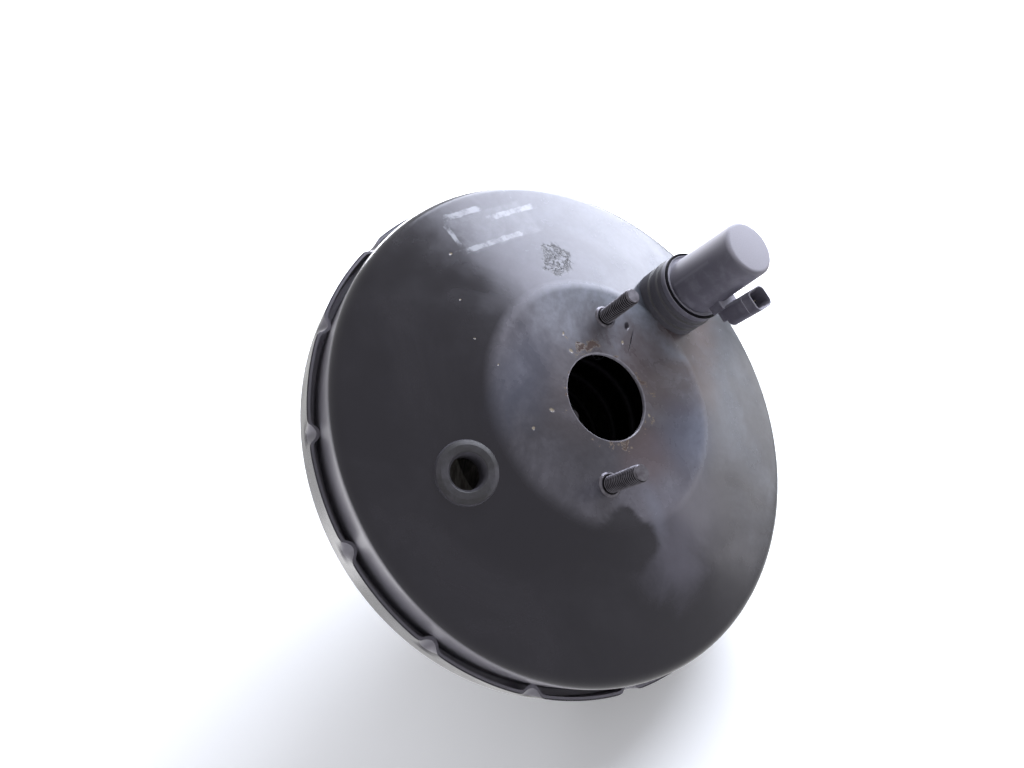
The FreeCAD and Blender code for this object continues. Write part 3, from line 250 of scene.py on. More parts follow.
def finished(name, mesh, smooth):
    """Link a mesh as an object with its edges sharp above an angle in degrees."""
    mesh.shade_smooth()
    mesh.set_sharp_from_angle(angle=math.radians(smooth))
    piece = bpy.data.objects.new(name, mesh)
    bpy.context.scene.collection.objects.link(piece)
    return piece


def turned(name, outline, steps, wrap=True, shape=None, smooth=35):
    """Turn an outline of (radius, station) points about the Y axis."""
    loops = []
    for radius, station in outline:
        loop = []
        for k in range(steps):
            angle = FULL_TURN * k / steps
            r = shape(angle, radius, station) if shape else radius
            loop.append((r * math.sin(angle), station, -r * math.cos(angle)))
        loops.append(loop)
    return surface(name, loops, wrap, smooth)


def cylinder(name, radius, low, high):
    """A plain cylinder along Y, to cut with."""
    return turned(name, [(0, low), (radius, low), (radius, high), (0, high)], 48, wrap=False)


def moved(piece, matrix):
    """Move a piece's mesh, its offsets in millimetres, and leave its object at the origin."""
    matrix = matrix.copy()
    matrix.translation = matrix.translation * MM
    piece.data.transform(matrix)
    return piece


def at(x, y, z, angle=0):
    """A place in millimetres, turned about +Y."""
    return Matrix.Translation((x, y, z)) @ Matrix.Rotation(angle, 4, "Y")


def joined(name, pieces):
    """Join loose shells into one piece."""
    shape = bmesh.new()
    for piece in pieces:
        shape.from_mesh(piece.data)
    mesh = bpy.data.meshes.new(name)
    shape.to_mesh(mesh)
    shape.free()
    removed(pieces)
    return finished(name, mesh, 34.4)


def removed(pieces):
    """Take loose pieces and their meshes away."""
    for piece in pieces:
        mesh = piece.data
        bpy.data.objects.remove(piece)
        bpy.data.meshes.remove(mesh)


def combined(piece, tools, operation, smooth=35):
    """Cut tools out of a piece or fuse them to it, and take the tools away."""
    for tool in tools:
        change = piece.modifiers.new("work", "BOOLEAN")
        change.operation = operation
        change.solver = "EXACT"
        change.object = tool
    seen = bpy.context.evaluated_depsgraph_get()
    mesh = bpy.data.meshes.new_from_object(piece.evaluated_get(seen))
    name = piece.name
    removed([piece, *tools])
    mesh.name = name
    return finished(name, mesh, smooth)


def rounded_rectangle(low_x, high_x, half_z, station, corner):
    """A loop in the XZ plane with rounded corners."""
    loop = []
    steps = 5
    corners = ((high_x, half_z, 0), (low_x, half_z, 90), (low_x, -half_z, 180), (high_x, -half_z, 270))
    for x, z, start in corners:
        middle_x = x - math.copysign(corner, math.cos(math.radians(start + 45)))
        middle_z = z - math.copysign(corner, math.sin(math.radians(start + 45)))
        for k in range(steps + 1):
            angle = math.radians(start + 90 * k / steps)
            loop.append((middle_x + corner * math.cos(angle), station, middle_z + corner * math.sin(angle)))
    return loop


def threaded_rod(name, radius, pitch, low, high, lead_in):
    """A rod along Y whose surface is a helical thread between two stations."""
    depth = 0.6 * pitch
    rows_per_turn = 7
    rows = max(2, round((high - low) / pitch * rows_per_turn))
    # Across one pitch the cut rises by this slope, flat at the crest and at the root.
    slope, level = 2.6, 0.15

    def thread(angle, r, y):
        if r == 0:
            return 0
        place = ((y / pitch) - angle / FULL_TURN) % 1
        cut = depth * min(1.0, max(0.0, abs(place - 0.5) * slope - level))
        ends = min(1.0, (y - low) / lead_in, (high - y) / lead_in)
        return min(r - cut * min(1, max(0, ends * 3)), r - depth * (1 - max(0.0, ends)))

    side = [(radius, low + (high - low) * i / rows) for i in range(rows + 1)]
    return turned(name, [(0, low), *side, (0, high)], 28, wrap=False, shape=thread, smooth=50)


def coil(name, radius, wire, turns, low, high, around, x=0, z=0, steps=40):
    """A coil spring of round wire along Y, its end turns laid flat."""
    # The end turns lie flat, and the pitch eases a little towards them.
    flat, ease = 0.75, 0.12
    total = turns + 2 * flat
    rise = high - low - 2 * wire
    loops = []
    rows = int(total * steps)
    for i in range(rows + 1):
        t = i / rows * total
        share = min(max((t - flat) / turns, 0.0), 1.0)
        eased = share * share * (3 - 2 * share) * ease + share * (1 - ease)
        y = low + wire + rise * eased
        angle = FULL_TURN * t
        out = Vector((math.cos(angle), 0, math.sin(angle)))
        centre = Vector((x, y, z)) + out * radius
        loop = []
        for k in range(around):
            a = FULL_TURN * k / around
            loop.append(centre + out * (wire * math.cos(a)) + Vector((0, wire * math.sin(a), 0)))
        loops.append(loop)
    return surface(name, loops, smooth=60)


# Materials


# The shader nodes that the finishes use most, each as its kind and settings.
TIMES, PLUS, LESS, OVER, RAISED, HIGHER, LOWER, UNSIGNED, ROOT = (
    ("Math", {"operation": operation})
    for operation in (
        "MULTIPLY", "ADD", "SUBTRACT", "DIVIDE", "POWER", "MAXIMUM", "MINIMUM", "ABSOLUTE", "SQRT"
    )
)
EASED = ("MapRange", {"interpolation_type": "SMOOTHSTEP"})
MIXED = ("Mix", {"data_type": "RGBA"})
REACH = ("VectorMath", {"operation": "LENGTH"})
ALONG = ("VectorMath", {"operation": "DOT_PRODUCT"})


def node(tree, kind, *values, named=None, out=None, **settings):
    """Add a shader node with its settings, set or link its inputs and return one output."""
    kind, preset = kind if isinstance(kind, tuple) else (kind, {})
    made = tree.nodes.new("ShaderNode" + kind)
    for key, value in {**preset, **settings}.items():
        setattr(made, key, value)
    pairs = list(zip([socket for socket in made.inputs if socket.enabled], values))
    pairs += [(made.inputs[key], value) for key, value in (named or {}).items()]
    for socket, value in pairs:
        if isinstance(value, bpy.types.NodeSocket):
            tree.links.new(value, socket)
        else:
            socket.default_value = value
    if out:
        return made.outputs[out]
    return next((socket for socket in made.outputs if socket.enabled), None)


def new_material(name):
    """An empty material and the function that adds nodes to it."""
    material = bpy.data.materials.new(name)
    material.use_nodes = True
    material.node_tree.nodes.clear()
    return material, partial(node, material.node_tree)


def grain(add, where, period, detail, roughness, distortion=0.0, stretch=None):
    """Noise from 0 to 1 whose coarsest feature has a period in millimetres."""
    if stretch:
        where = add("Mapping", named={"Vector": where, "Scale": stretch})
    inputs = {
        "Vector": where,
        "Scale": 1 / (period * MM),
        "Detail": detail,
        "Roughness": roughness,
        "Distortion": distortion,
    }
    return add("TexNoise", named=inputs, out="Fac")


def patch(add, where, x, z, half_x, half_z, angle, soft, ragged, strength=1.0, oblong=False):
    """A soft-edged oval or oblong on the front of the shell, at a place in millimetres."""
    inputs = {"Vector": where, "Location": (x * MM, 0, z * MM), "Rotation": (0, math.radians(angle), 0)}
    parts = add("SeparateXYZ", add("Mapping", named=inputs, vector_type="TEXTURE")).node.outputs
    far_x = add(OVER, add(UNSIGNED, parts["X"]), half_x * MM)
    far_z = add(OVER, add(UNSIGNED, parts["Z"]), half_z * MM)
    if oblong:
        far = add(HIGHER, far_x, far_z)
    else:
        far = add(ROOT, add(PLUS, add(RAISED, far_x, 2.0), add(RAISED, far_z, 2.0)))
    return add(EASED, add(PLUS, far, ragged), 1 - soft, 1 + soft, strength, 0.0)


def shell_face(add):
    """The places and noises that the layers of the shell's finish share."""
    where = add("TexCoord", out="Object")
    x, y, z = add("SeparateXYZ", where).node.outputs
    clouds = grain(add, where, 46, 5, 0.6, 0.6)
    return SimpleNamespace(
        where=where,
        x=x,
        y=y,
        z=z,
        radius=add(REACH, add("CombineXYZ", named={"X": x, "Z": z})),
        front=add(EASED, y, -0.080, -0.088),
        clouds=clouds,
        fine=grain(add, where, 3.2, 4, 0.65),
        ragged=add(LESS, clouds, 0.5),
        specks=add(LESS, grain(add, where, 5, 5, 0.7), 0.5),
    )


def dust_and_painted_light(add, face, colours):
    """Pale film on the side towards the light, partly dust and partly painted light; a pad painted paler,
    partly dirt and partly painted light; painted bounce light in the channel; a painted reflection on the
    collar.
    """
    # The side towards the window light, across X and Z, is painted with a paler film: partly dust, partly
    # painted light.
    towards_light = add(LESS, add(TIMES, face.x, 0.8), add(TIMES, face.z, 0.6))
    towards_light = add(PLUS, towards_light, add(TIMES, face.ragged, 0.08))
    lit_side_pale = add(EASED, towards_light, -0.055, 0.095, 0.0, 0.36)
    # The pad is painted paler up to a sharp edge at its rim, more towards the light: partly dirt, partly
    # painted light.
    pad_dust_and_light = add(TIMES, add(EASED, face.radius, 0.065, 0.057), add(EASED, towards_light, -0.060, 0.045, 0.5, 0.95))
    film_and_light = add(HIGHER, lit_side_pale, add(TIMES, pad_dust_and_light, face.front))
    film_and_light = add(TIMES, film_and_light, add(EASED, face.clouds, 0.34, 0.66, 0.45, 1.0))
    film_and_light = add(TIMES, film_and_light, add(EASED, face.fine, 0.25, 0.75, 0.75, 1.0))
    # The walls behind the cone keep less of it than the front does.
    film_and_light = add(TIMES, film_and_light, add(EASED, face.y, -0.074, -0.090, 0.3, 1.0))
    # Painted light: the channel between the side wall and the collar is painted paler in place of the light
    # bounced into it, most on the side away from the light.
    channel_painted_light = add(TIMES, add(EASED, face.radius, 0.1252, 0.1259), add(EASED, face.radius, 0.1306, 0.1303))
    channel_painted_light = add(TIMES, channel_painted_light, add(EASED, face.y, -0.052, -0.056, 0.0, 0.85))
    channel_painted_light = add(TIMES, channel_painted_light, add(EASED, towards_light, 0.0, 0.06, 1.0, 0.3))
    # Painted reflection: the collar's outer face is painted paler in clouds, in place of the floor's
    # reflection.
    collar_painted_reflection = add(EASED, face.clouds, 0.3, 0.6, 0.08, 0.24)
    collar_painted_reflection = add(TIMES, add(EASED, face.radius, 0.1300, 0.1306), collar_painted_reflection)
    cloudy = add(EASED, grain(add, face.where, 60, 5, 0.65, 0.8), 0.42, 0.75, 0.0, 0.05)
    for layer in (channel_painted_light, collar_painted_reflection, cloudy):
        film_and_light = add(HIGHER, film_and_light, layer)
    # The film's colour is paler and bluer towards the light: dust and painted light.
    dust_and_light = add(MIXED, add(EASED, towards_light, -0.02, 0.07), rgba("#77747b"), (*colours.film_and_light, 1))
    return film_and_light, add(MIXED, film_and_light, (*colours.enamel, 1), dust_and_light)


def fluid_marks(add, face, colour, colours):
    """Hazes of brown leaked fluid and of blue-grey, one pale smear and a place washed clean."""
    # Each has its place and half sizes in millimetres, turn, softness, raggedness and strength.
    rows = (
        (53, -59, 22, 18, 20, 0.75, 2.2, 0.4, rgba("#6a554c")),
        (-28, -22, 12, 12, 20, 0.75, 2.2, 0.45, rgba("#5b4238")),
        (24, -62, 20, 16, 20, 0.75, 2.2, 0.35, rgba("#66534d")),
        (26, -24, 26, 24, 20, 0.75, 2.2, 0.5, rgba("#5c4a44")),
        (6, 16, 22, 20, 20, 0.75, 2.2, 0.3, rgba("#554b49")),
        (-10, -50, 17, 14, 20, 0.75, 2.2, 0.35, rgba("#59617a")),
        (4, 44, 22, 12, 20, 0.75, 2.2, 0.3, rgba("#4d5568")),
        (-50, -36, 24, 24, 20, 0.75, 2.2, 0.42, rgba("#6f6c77")),
        (-72, -40, 14, 14, 20, 0.75, 2.2, 0.3, rgba("#63606b")),
        (-49, -24, 13, 6, -28, 0.6, 3.0, 0.4, rgba("#767884")),
        (-64, -10, 14, 17, 12, 0.16, 2.4, 0.92, (*colours.enamel, 1)),
    )
    for *place, ragged, strength, shade in rows:
        shape = patch(add, face.where, *place, add(TIMES, face.ragged, ragged), strength)
        colour = add(MIXED, add(TIMES, shape, face.front), colour, shade)
    return colour


def worn_places(add, face, colour, colours):
    """A scuff down to dark primer, and chips to rust round the hole with a pale edge of primer."""
    scuff = patch(add, face.where, 70, 26, 9, 7, 25, 0.3, add(TIMES, face.specks, 2.4))
    scratches = add(EASED, grain(add, face.where, 2.6, 4, 0.7, 0.5), 0.44, 0.56)
    scraped = add(TIMES, add(TIMES, scuff, scratches), face.front)
    colour = add(MIXED, add(TIMES, scraped, 0.85), colour, rgba("#1b181b"))

    near_hole = add(TIMES, add(EASED, face.radius, 0.036, 0.0235), face.front)
    broken = add(TIMES, face.specks, 1.5)
    beside_hole = patch(add, face.where, 23, 17, 8, 8, 0, 0.6, broken)
    under_stud = patch(add, face.where, 36, -14, 7, 7, 0, 0.6, broken, 0.8)
    chipped = add(EASED, near_hole, 0.0, 1.0, -0.2, -0.03)
    chipped = add(PLUS, grain(add, face.where, 7.5, 6, 0.62, 0.4), chipped)
    chipped = add(PLUS, chipped, add(TIMES, add(HIGHER, beside_hole, under_stud), 0.13))
    rust = add(EASED, chipped, 0.575, 0.6)
    primer = add(LESS, add(EASED, chipped, 0.55, 0.57), rust)
    colour = add(MIXED, add(TIMES, primer, 0.55), colour, rgba("#8d7c66"))
    colour = add(MIXED, add(TIMES, rust, 0.85), colour, (*colours.rust, 1))
    return colour, rust, scraped


def label_remains(add, face, colour):
    """What is left of a blank foil label, rubbed to streaks."""
    tilt = -35.7
    rubbed = grain(add, face.where, 9, 5, 0.7, 0.3)
    broken = add(TIMES, face.specks, 0.5)
    foil = patch(add, face.where, 82.6, 57.7, 10.5, 23, tilt, 0.08, broken, oblong=True)
    foil = add(TIMES, foil, add(EASED, rubbed, 0.36, 0.66, 0.04, 0.16))
    left = add(EASED, rubbed, 0.38, 0.56, 0.1, 0.6)
    broken = add(TIMES, face.specks, 1.8)
    for bar in ((95, 49, 1.6, 14), (86, 74, 1.6, 9), (72, 58, 1.4, 17), (69, 79, 5, 1.2)):
        streak = patch(add, face.where, *bar, tilt, 0.3, broken, oblong=True)
        foil = add(HIGHER, foil, add(TIMES, streak, left))
    return add(MIXED, add(TIMES, foil, face.front), colour, rgba("#c3c6cc"))


def small_chips(add, face, colour):
    """Chips to bare primer, each where the booster has one, and sparse smaller ones."""
    spacing = 16.129
    cells = {"Vector": face.where, "Scale": 1 / (spacing * MM)}
    spots = add("TexVoronoi", named=cells).node.outputs
    few = add(EASED, add("SeparateColor", spots["Color"], out="Red"), 0.9, 0.92)
    bare = add(TIMES, add(EASED, spots["Distance"], 0.05, 0.03), few)
    broken = add(TIMES, face.specks, 3.0)
    places = (
        (19, 20, 1.1), (-13, 30, 1.1), (31, -10, 1.0), (-5, -24, 0.9), (-23, 39, 0.8),
        (33, 75, 0.6), (3, 57, 0.5), (58, 80, 0.7), (14, 68, 0.5), (27, 24, 0.9),
    )
    for x, z, half in places:
        chip = patch(add, face.where, x, z, half, half * 0.7, x * 7, 0.45, broken)
        bare = add(HIGHER, bare, add(TIMES, chip, face.front))
    return add(MIXED, add(TIMES, bare, 0.8), colour, rgba("#a09480")), bare


def hole_highlight_and_pit(add, face, colour):
    """A painted highlight round the hole's edge, and a pit with its scratch."""
    # Painted highlight: a pale ring on the hole's pierced edge, where it catches the light.
    edge = add(TIMES, add(EASED, face.radius, 0.0225, 0.0220), face.front)
    edge = add(TIMES, edge, add(EASED, face.fine, 0.25, 0.5, 0.35, 0.8))
    colour = add(MIXED, edge, colour, rgba("#98959d"))
    places = ((41.0, -13.0, 2.3, 1.4, 20, 0.35), (33.5, -15.2, 6.0, 0.45, 16, 0.5))
    pit, scratch = (
        add(TIMES, patch(add, face.where, *place, face.specks), face.front) for place in places
    )
    return add(MIXED, add(HIGHER, pit, scratch), colour, rgba("#141016")), pit, scratch


def enamel_material(context):
    """Black stoving enamel on deep-drawn steel: glossy, a little wavy, filmed with dust, chipped, and with
    painted light on its lit side, pad, channel, collar and hole edge.
    """
    colours = context.scene.booster_colours
    material, add = new_material("stoved_black_enamel_on_drawn_steel")
    face = shell_face(add)
    film_and_light, colour = dust_and_painted_light(add, face, colours)
    colour = fluid_marks(add, face, colour, colours)
    colour, rust, scraped = worn_places(add, face, colour, colours)
    colour = label_remains(add, face, colour)
    colour, bare = small_chips(add, face, colour)
    colour, pit, scratch = hole_highlight_and_pit(add, face, colour)

    worn = add(HIGHER, add(HIGHER, rust, scraped), add(TIMES, film_and_light, 1.2))
    gloss = add(EASED, grain(add, face.where, 18, 4, 0.6), 0.3, 0.7, 0.15, 0.25)
    dull = add(PLUS, gloss, add(TIMES, worn, 0.14))
    loss = add(PLUS, add(PLUS, rust, pit), add(TIMES, scratch, 0.5))
    loss = add(PLUS, loss, add(HIGHER, scraped, bare))

    # The draw leaves waves of some 34 mm and the enamel an orange peel of about 1.5 mm.
    draw = grain(add, face.where, 34, 2, 0.5)
    peel = grain(add, face.where, 1.5, 2, 0.5)
    relief = {}
    for strength, depth, height, sunk in (
        (0.22, 0.0012, draw, False),
        (0.06, 0.0002, peel, False),
        (0.6, 0.0005, loss, True),
    ):
        inputs = {"Strength": strength, "Distance": depth, "Height": height, **relief}
        relief = {"Normal": add("Bump", named=inputs, invert=sunk)}
    # The enamel's shine is a little cold and thinner than fresh paint's.
    shine = {"IOR": 1.5, "Specular IOR Level": 0.42, "Specular Tint": rgba("#f5f1ff")}
    inputs = {"Base Color": colour, "Roughness": add(LOWER, dull, 0.75), **shine, **relief}
    add("OutputMaterial", add("BsdfPrincipled", named=inputs))
    return material


def metal_material(name, colour, spread, rough, period, marks, stain="#3a332f", stained=0.35, stretch=None):
    """A bare or plated metal: mottled colour, brushed or cast grain, stains, and darker in its hollows."""
    material, add = new_material(name)
    where = add("TexCoord", out="Object")
    mottle = grain(add, where, period, 4, 0.6, 0.2, stretch)
    fine = grain(add, where, marks, 3, 0.6, 0.0, stretch)
    base = add(MIXED, add(EASED, mottle, 0.3, 0.7), (*colour, 1), rgba(spread))
    darkened = add(EASED, grain(add, where, period * 2.6, 5, 0.65), 0.5, 0.75, 0.0, stained)
    # The thread's grooves are painted darker by their depth.
    groove = add("Attribute", out="Fac", attribute_name="groove")
    darkened = add(HIGHER, darkened, add(EASED, groove, 0.1, 0.55, 0.0, 0.97))
    level = add(EASED, fine, 0.3, 0.7, rough, rough + 0.16)
    inputs = {
        "Metallic": 1.0,
        "Base Color": add(MIXED, darkened, base, rgba(stain)),
        "Roughness": add(PLUS, level, add(TIMES, darkened, 0.3)),
        "Normal": add("Bump", named={"Strength": 0.18, "Distance": 0.0002, "Height": fine}),
    }
    add("OutputMaterial", add("BsdfPrincipled", named=inputs))
    return material


def moulded_material(name, colour, pale, rough, period, bump, dusty, ior=1.5, dust_and_light_above=0.0, walls=0.0):
    """A moulded rubber or plastic: even colour, fine mould grain, dust in clouds and on some sides, and faces
    turned up to the light painted paler, partly dust and partly painted light.
    """
    material, add = new_material(name)
    where = add("TexCoord", out="Object")
    cloud = grain(add, where, period * 14, 5, 0.6, 0.3)
    fine = grain(add, where, period, 3, 0.6)
    dust_and_light = add(EASED, cloud, 0.4, 0.72, 0.0, dusty)
    # Faces turned up to the light above are painted paler, partly settled dust and partly painted light; dust
    # also clings to what stands along the booster's axis.
    normal = add("NewGeometry", out="Normal")
    faces_up_dust_and_light = add(EASED, add(ALONG, normal, tuple(FLOOR_NORMAL)), 0.1, 0.85, 0.0, dust_and_light_above)
    dust_and_light = add(HIGHER, dust_and_light, add(TIMES, faces_up_dust_and_light, add(EASED, fine, 0.2, 0.6, 0.75, 1.0)))
    along = add(UNSIGNED, add("SeparateXYZ", normal, out="Y"))
    dust_and_light = add(HIGHER, dust_and_light, add(EASED, along, 0.7, 0.3, 0.0, walls))
    level = add(EASED, fine, 0.3, 0.7, rough - 0.06, rough + 0.06)
    inputs = {
        "IOR": ior,
        "Base Color": add(MIXED, dust_and_light, (*colour, 1), rgba(pale)),
        "Roughness": add(PLUS, level, add(TIMES, dust_and_light, 0.4)),
        "Normal": add("Bump", named={"Strength": bump, "Distance": 0.0002, "Height": fine}),
    }
    add("OutputMaterial", add("BsdfPrincipled", named=inputs))
    return material


def fibrous_material(name, dark, pale, period, bump):
    """Felt or open foam: cells or fibres of a real size, with no gloss."""
    material, add = new_material(name)
    where = add("TexCoord", out="Object")
    inputs = {"Vector": where, "Scale": 1 / (period * MM)}
    cells = add("TexVoronoi", named=inputs, out="Distance")
    hairs = grain(add, where, period * 0.7, 5, 0.7, 1.5)
    mixed = add(PLUS, add(TIMES, cells, 0.6), add(TIMES, hairs, 0.6))
    inputs = {
        "Roughness": 0.95,
        "Base Color": add(MIXED, add(EASED, mixed, 0.3, 0.8), rgba(dark), rgba(pale)),
        "Normal": add("Bump", named={"Strength": bump, "Distance": 0.0006, "Height": mixed}),
    }
    add("OutputMaterial", add("BsdfPrincipled", named=inputs))
    return material


def finishes(context):
    """Every finish of the booster by its name, made once."""
    made = bpy.data.materials
    if "stoved_black_enamel_on_drawn_steel" not in made:
        colours = context.scene.booster_colours
        enamel_material(context)
        # Cold-rolled plate keeps the fine lines of the mill's rolls.
        metal_material("cold_rolled_steel", colours.steel, "#4b4845", 0.36, 6, 0.5, stretch=(1, 1, 6))
        # Dull zinc plate over a rolled thread, oily and stained by the road.
        metal_material(
            "zinc_plated_rolled_steel", colours.zinc, "#504d53", 0.28, 2.5, 0.4, "#100e11", 0.5
        )
        # Phosphated spring wire is nearly black with a soft shine.
        metal_material("phosphated_spring_wire", linear("#1f1e22"), "#161519", 0.6, 3, 0.3, "#100f13", 0.3)
        # Tin over a brass strip is pale and bright.
        metal_material("tinned_brass_strip", linear("#cfcabc"), "#b8b09c", 0.22, 2, 0.2, stained=0.1)
        # EPDM rubber is matt with the fine skin of its mould.
        moulded_material(
            "moulded_epdm_rubber", colours.rubber, "#77747e", 0.52, 0.6, 0.3, dusty=0.2, walls=0.3
        )
        # Glass-filled nylon has a satin skin that catches light along its edges; its faces turned up to the
        # light are painted paler, partly dust and partly painted light.
        skin = {"dusty": 0.1, "ior": 1.53, "dust_and_light_above": 0.75}
        moulded_material("moulded_glass_filled_nylon", colours.nylon, "#c4c1cc", 0.44, 0.5, 0.15, **skin)
        # Machined acetal is ivory with a soft sheen.
        moulded_material("machined_acetal", linear("#d8d3c4"), "#b5ad99", 0.35, 0.4, 0.15, dusty=0.3)
        # Phenolic moulding is hard, brown-black and faintly mottled.
        moulded_material("moulded_phenolic", linear("#2a211c"), "#4a3d34", 0.36, 0.5, 0.2, dusty=0.5)
        # Open foam shows its cells, and pressed felt a mat of pale fibres.
        fibrous_material("open_cell_filter_foam", "#101012", "#3a3a3e", 1.1, 0.9)
        fibrous_material("pressed_wool_felt", "#6e6a63", "#a29d94", 0.5, 0.6)
    return made


FINISH = {
    "painted_steel": "stoved_black_enamel_on_drawn_steel",
    "bare_steel": "cold_rolled_steel",
    "zinc_steel": "zinc_plated_rolled_steel",
    "spring_steel": "phosphated_spring_wire",
    "black_rubber": "moulded_epdm_rubber",
    "dark_plastic": "moulded_glass_filled_nylon",
    "bush_plastic": "machined_acetal",
    "phenolic": "moulded_phenolic",
    "tinned_brass": "tinned_brass_strip",
    "filter_foam": "open_cell_filter_foam",
    "felt": "pressed_wool_felt",
}


def dress(context, piece, slot, body, nodes):
    """Give a piece its finish and, where it is rigid, its body, and hide the CAD nodes that it stands for."""
    piece.data.materials.clear()
    piece.data.materials.append(finishes(context)[FINISH[slot]])
    if body:
        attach(piece, body)
    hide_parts(*nodes)


# Pieces


class BOOSTER_OT_front_shell(bpy.types.Operator):
    """Draw the dished front shell with its hole, flange and the openings for port and sensor."""

    bl_idname = "booster.front_shell"
    bl_label = "Front shell"

    def execute(self, context):
        s = millimetres(context)
        flange = -s.collar_front + s.crimp_length
        corners = [
            (s.hole, -s.pad),
            (s.pad_radius, -s.pad),
            (s.wall, -s.pad + s.cone),
            (s.wall, flange),
            (s.collar - s.sheet - 0.2, flange),
        ]
        path = bent(corners, {1: 24, 2: 7, 3: 0.8}, 12)
        outline = sheet_outline(path, s.sheet)
        # The hole's outer edge is pierced with a small roll-over.
        outline[0] = (s.hole + 0.5, -s.pad)
        outline.insert(0, (s.hole + 0.1, -s.pad + 0.35))
        shell = turned("front_shell_pressing", outline, 240)
        sensor_place = at(s.sensor_x, 0, s.sensor_z)
        for_sensor = moved(cylinder("for_sensor", s.sensor_hole, -s.pad - 15, -s.pad + 30), sensor_place)
        for_port = moved(cylinder("for_port", s.port_hole, -20, 20), port_place(s))
        shell = combined(shell, [for_sensor, for_port], "DIFFERENCE")
        dress(context, shell, "painted_steel", "housing", ["front_shell"])
        return {"FINISHED"}


def port_place(s):
    """Place of the vacuum grommet: its own +Y points into the shell along the cone's normal."""
    reach = math.hypot(s.port_x, s.port_z)
    slope = math.atan2(s.cone, s.wall - s.pad_radius)
    y = -s.pad + s.cone * (reach - s.pad_radius) / (s.wall - s.pad_radius)
    return Matrix.Translation((s.port_x, y, s.port_z)) @ Matrix.Rotation(slope, 4, (-s.port_z, 0, s.port_x))


class BOOSTER_OT_rear_shell(bpy.types.Operator):
    """Draw the rear shell: collar with pressed crimps, bowl, bulkhead face and neck."""

    bl_idname = "booster.rear_shell"
    bl_label = "Rear shell"

    def execute(self, context):
        s = millimetres(context)
        shoulder = -s.collar_front + s.collar_length
        corners = [
            (s.collar, -s.collar_front),
            (s.collar, shoulder),
            (s.bowl, shoulder),
            (s.bowl, -30),
            (s.bowl - 9.6, -14),
            (66, 0),
            (s.neck, 0),
            (s.neck, s.neck_length),
            (25, s.neck_length),
        ]
        bends = {1: 3.2, 2: 0.8, 3: 11.2, 4: 11.2, 5: 9.6, 6: 0.8, 7: 3.2}
        path = bent(corners, bends, 8)
        # Short runs along the crimped edge let the dents take their shape.
        start = divided(path[:2], 0.9)
        outline = sheet_outline(start[:-1] + path[1:], s.sheet, 5.0)
        turns = [s.crimp_turn + FULL_TURN * k / s.crimps for k in range(s.crimps)]
        tool = s.collar - s.wall - 0.3
        depth_end = s.crimp_length - s.sheet

        def crimped(angle, r, y):
            if r < s.collar - 3 or y > -s.collar_front + s.crimp_length:
                return r
            away = min(abs((angle - t + math.pi) % FULL_TURN - math.pi) for t in turns) * s.collar
            share = max(0.0, 1 - (y + s.collar_front) / depth_end)
            size = tool * share
            if away > 2.2 * tool:
                return r
            dent = math.sqrt(max(0.0, size * size - away * away)) - s.sheet * share
            soft = 0.55 * size * math.exp(-((away / (0.75 * tool)) ** 2))
            return r - max(0.0, 0.75 * dent + 0.45 * soft, soft)

        shell = turned("rear_shell_pressing", outline, 800, shape=crimped, smooth=40)
        dress(context, shell, "painted_steel", "housing", ["rear_shell"])
        return {"FINISHED"}


class BOOSTER_OT_studs(bpy.types.Operator):
    """Draw the threaded studs with their swaged collars and welded heads."""

    bl_idname = "booster.studs"
    bl_label = "Studs"

    def execute(self, context):
        s = millimetres(context)
        front = [(s.front_spacing * side, 0) for side in (0.5, -0.5)]
        studs = self.row(s, front, -s.pad, -1, s.front_stud, 0.75, 0.5)
        piece = joined("master_cylinder_stud_pair", studs)
        self.grooves(piece, s, front)
        dress(context, piece, "zinc_steel", "housing", ["master_cylinder_studs"])
        sides = ((0.5, 0.5), (0.5, -0.5), (-0.5, -0.5), (-0.5, 0.5))
        rear = [(s.rear_spacing * x, s.rear_spacing * z) for x, z in sides]
        piece = joined("bulkhead_stud_set", self.row(s, rear, 0, 1, s.rear_stud, 0.5, 0.3))
        self.grooves(piece, s, rear)
        dress(context, piece, "zinc_steel", "housing", ["bulkhead_studs"])
        return {"FINISHED"}

    def row(self, s, places, face, out, reach, rise, bend):
        """Studs of one face, which stand out along Y: thread, raised foot and welded head."""
        foot, head = s.stud_foot, s.stud_head
        inside = -s.sheet - 3
        corners = [
            (0, rise),
            (foot - 0.9, rise),
            (foot - 0.1, 0.02),
            (foot, inside),
            (head, inside),
            (head, inside - 3),
            (0, inside - 3),
        ]
        corners = [(radius, face + out * depth) for radius, depth in corners]
        low, high = sorted((face - out * 0.4, face + out * reach))
        studs = []
        for x, z in places:
            rod = threaded_rod("rod", s.stud - 0.02, s.stud_pitch, low, high, 1.0)
            root = turned("root", bent(corners, {1: bend, 4: 0.4, 5: 0.8}, 3), 48, wrap=False)
            studs += [moved(rod, at(x, 0, z)), moved(root, at(x, 0, z))]
        return studs

    def grooves(self, piece, s, axes):
        """Mark how deep each point lies in a thread's groove, so that the material paints the groove darker.
        """
        marks = piece.data.attributes.new("groove", "FLOAT", "POINT")
        depth, end = 0.6, 0.8
        for vertex, mark in zip(piece.data.vertices, marks.data):
            x, y, z = vertex.co / MM
            reach = min(math.hypot(x - ax, z - az) for ax, az in axes)
            threaded = reach < s.stud and -s.pad - s.front_stud + end < y < s.rear_stud - end
            mark.value = (s.stud - 0.05 - reach) / depth if threaded else 0.0


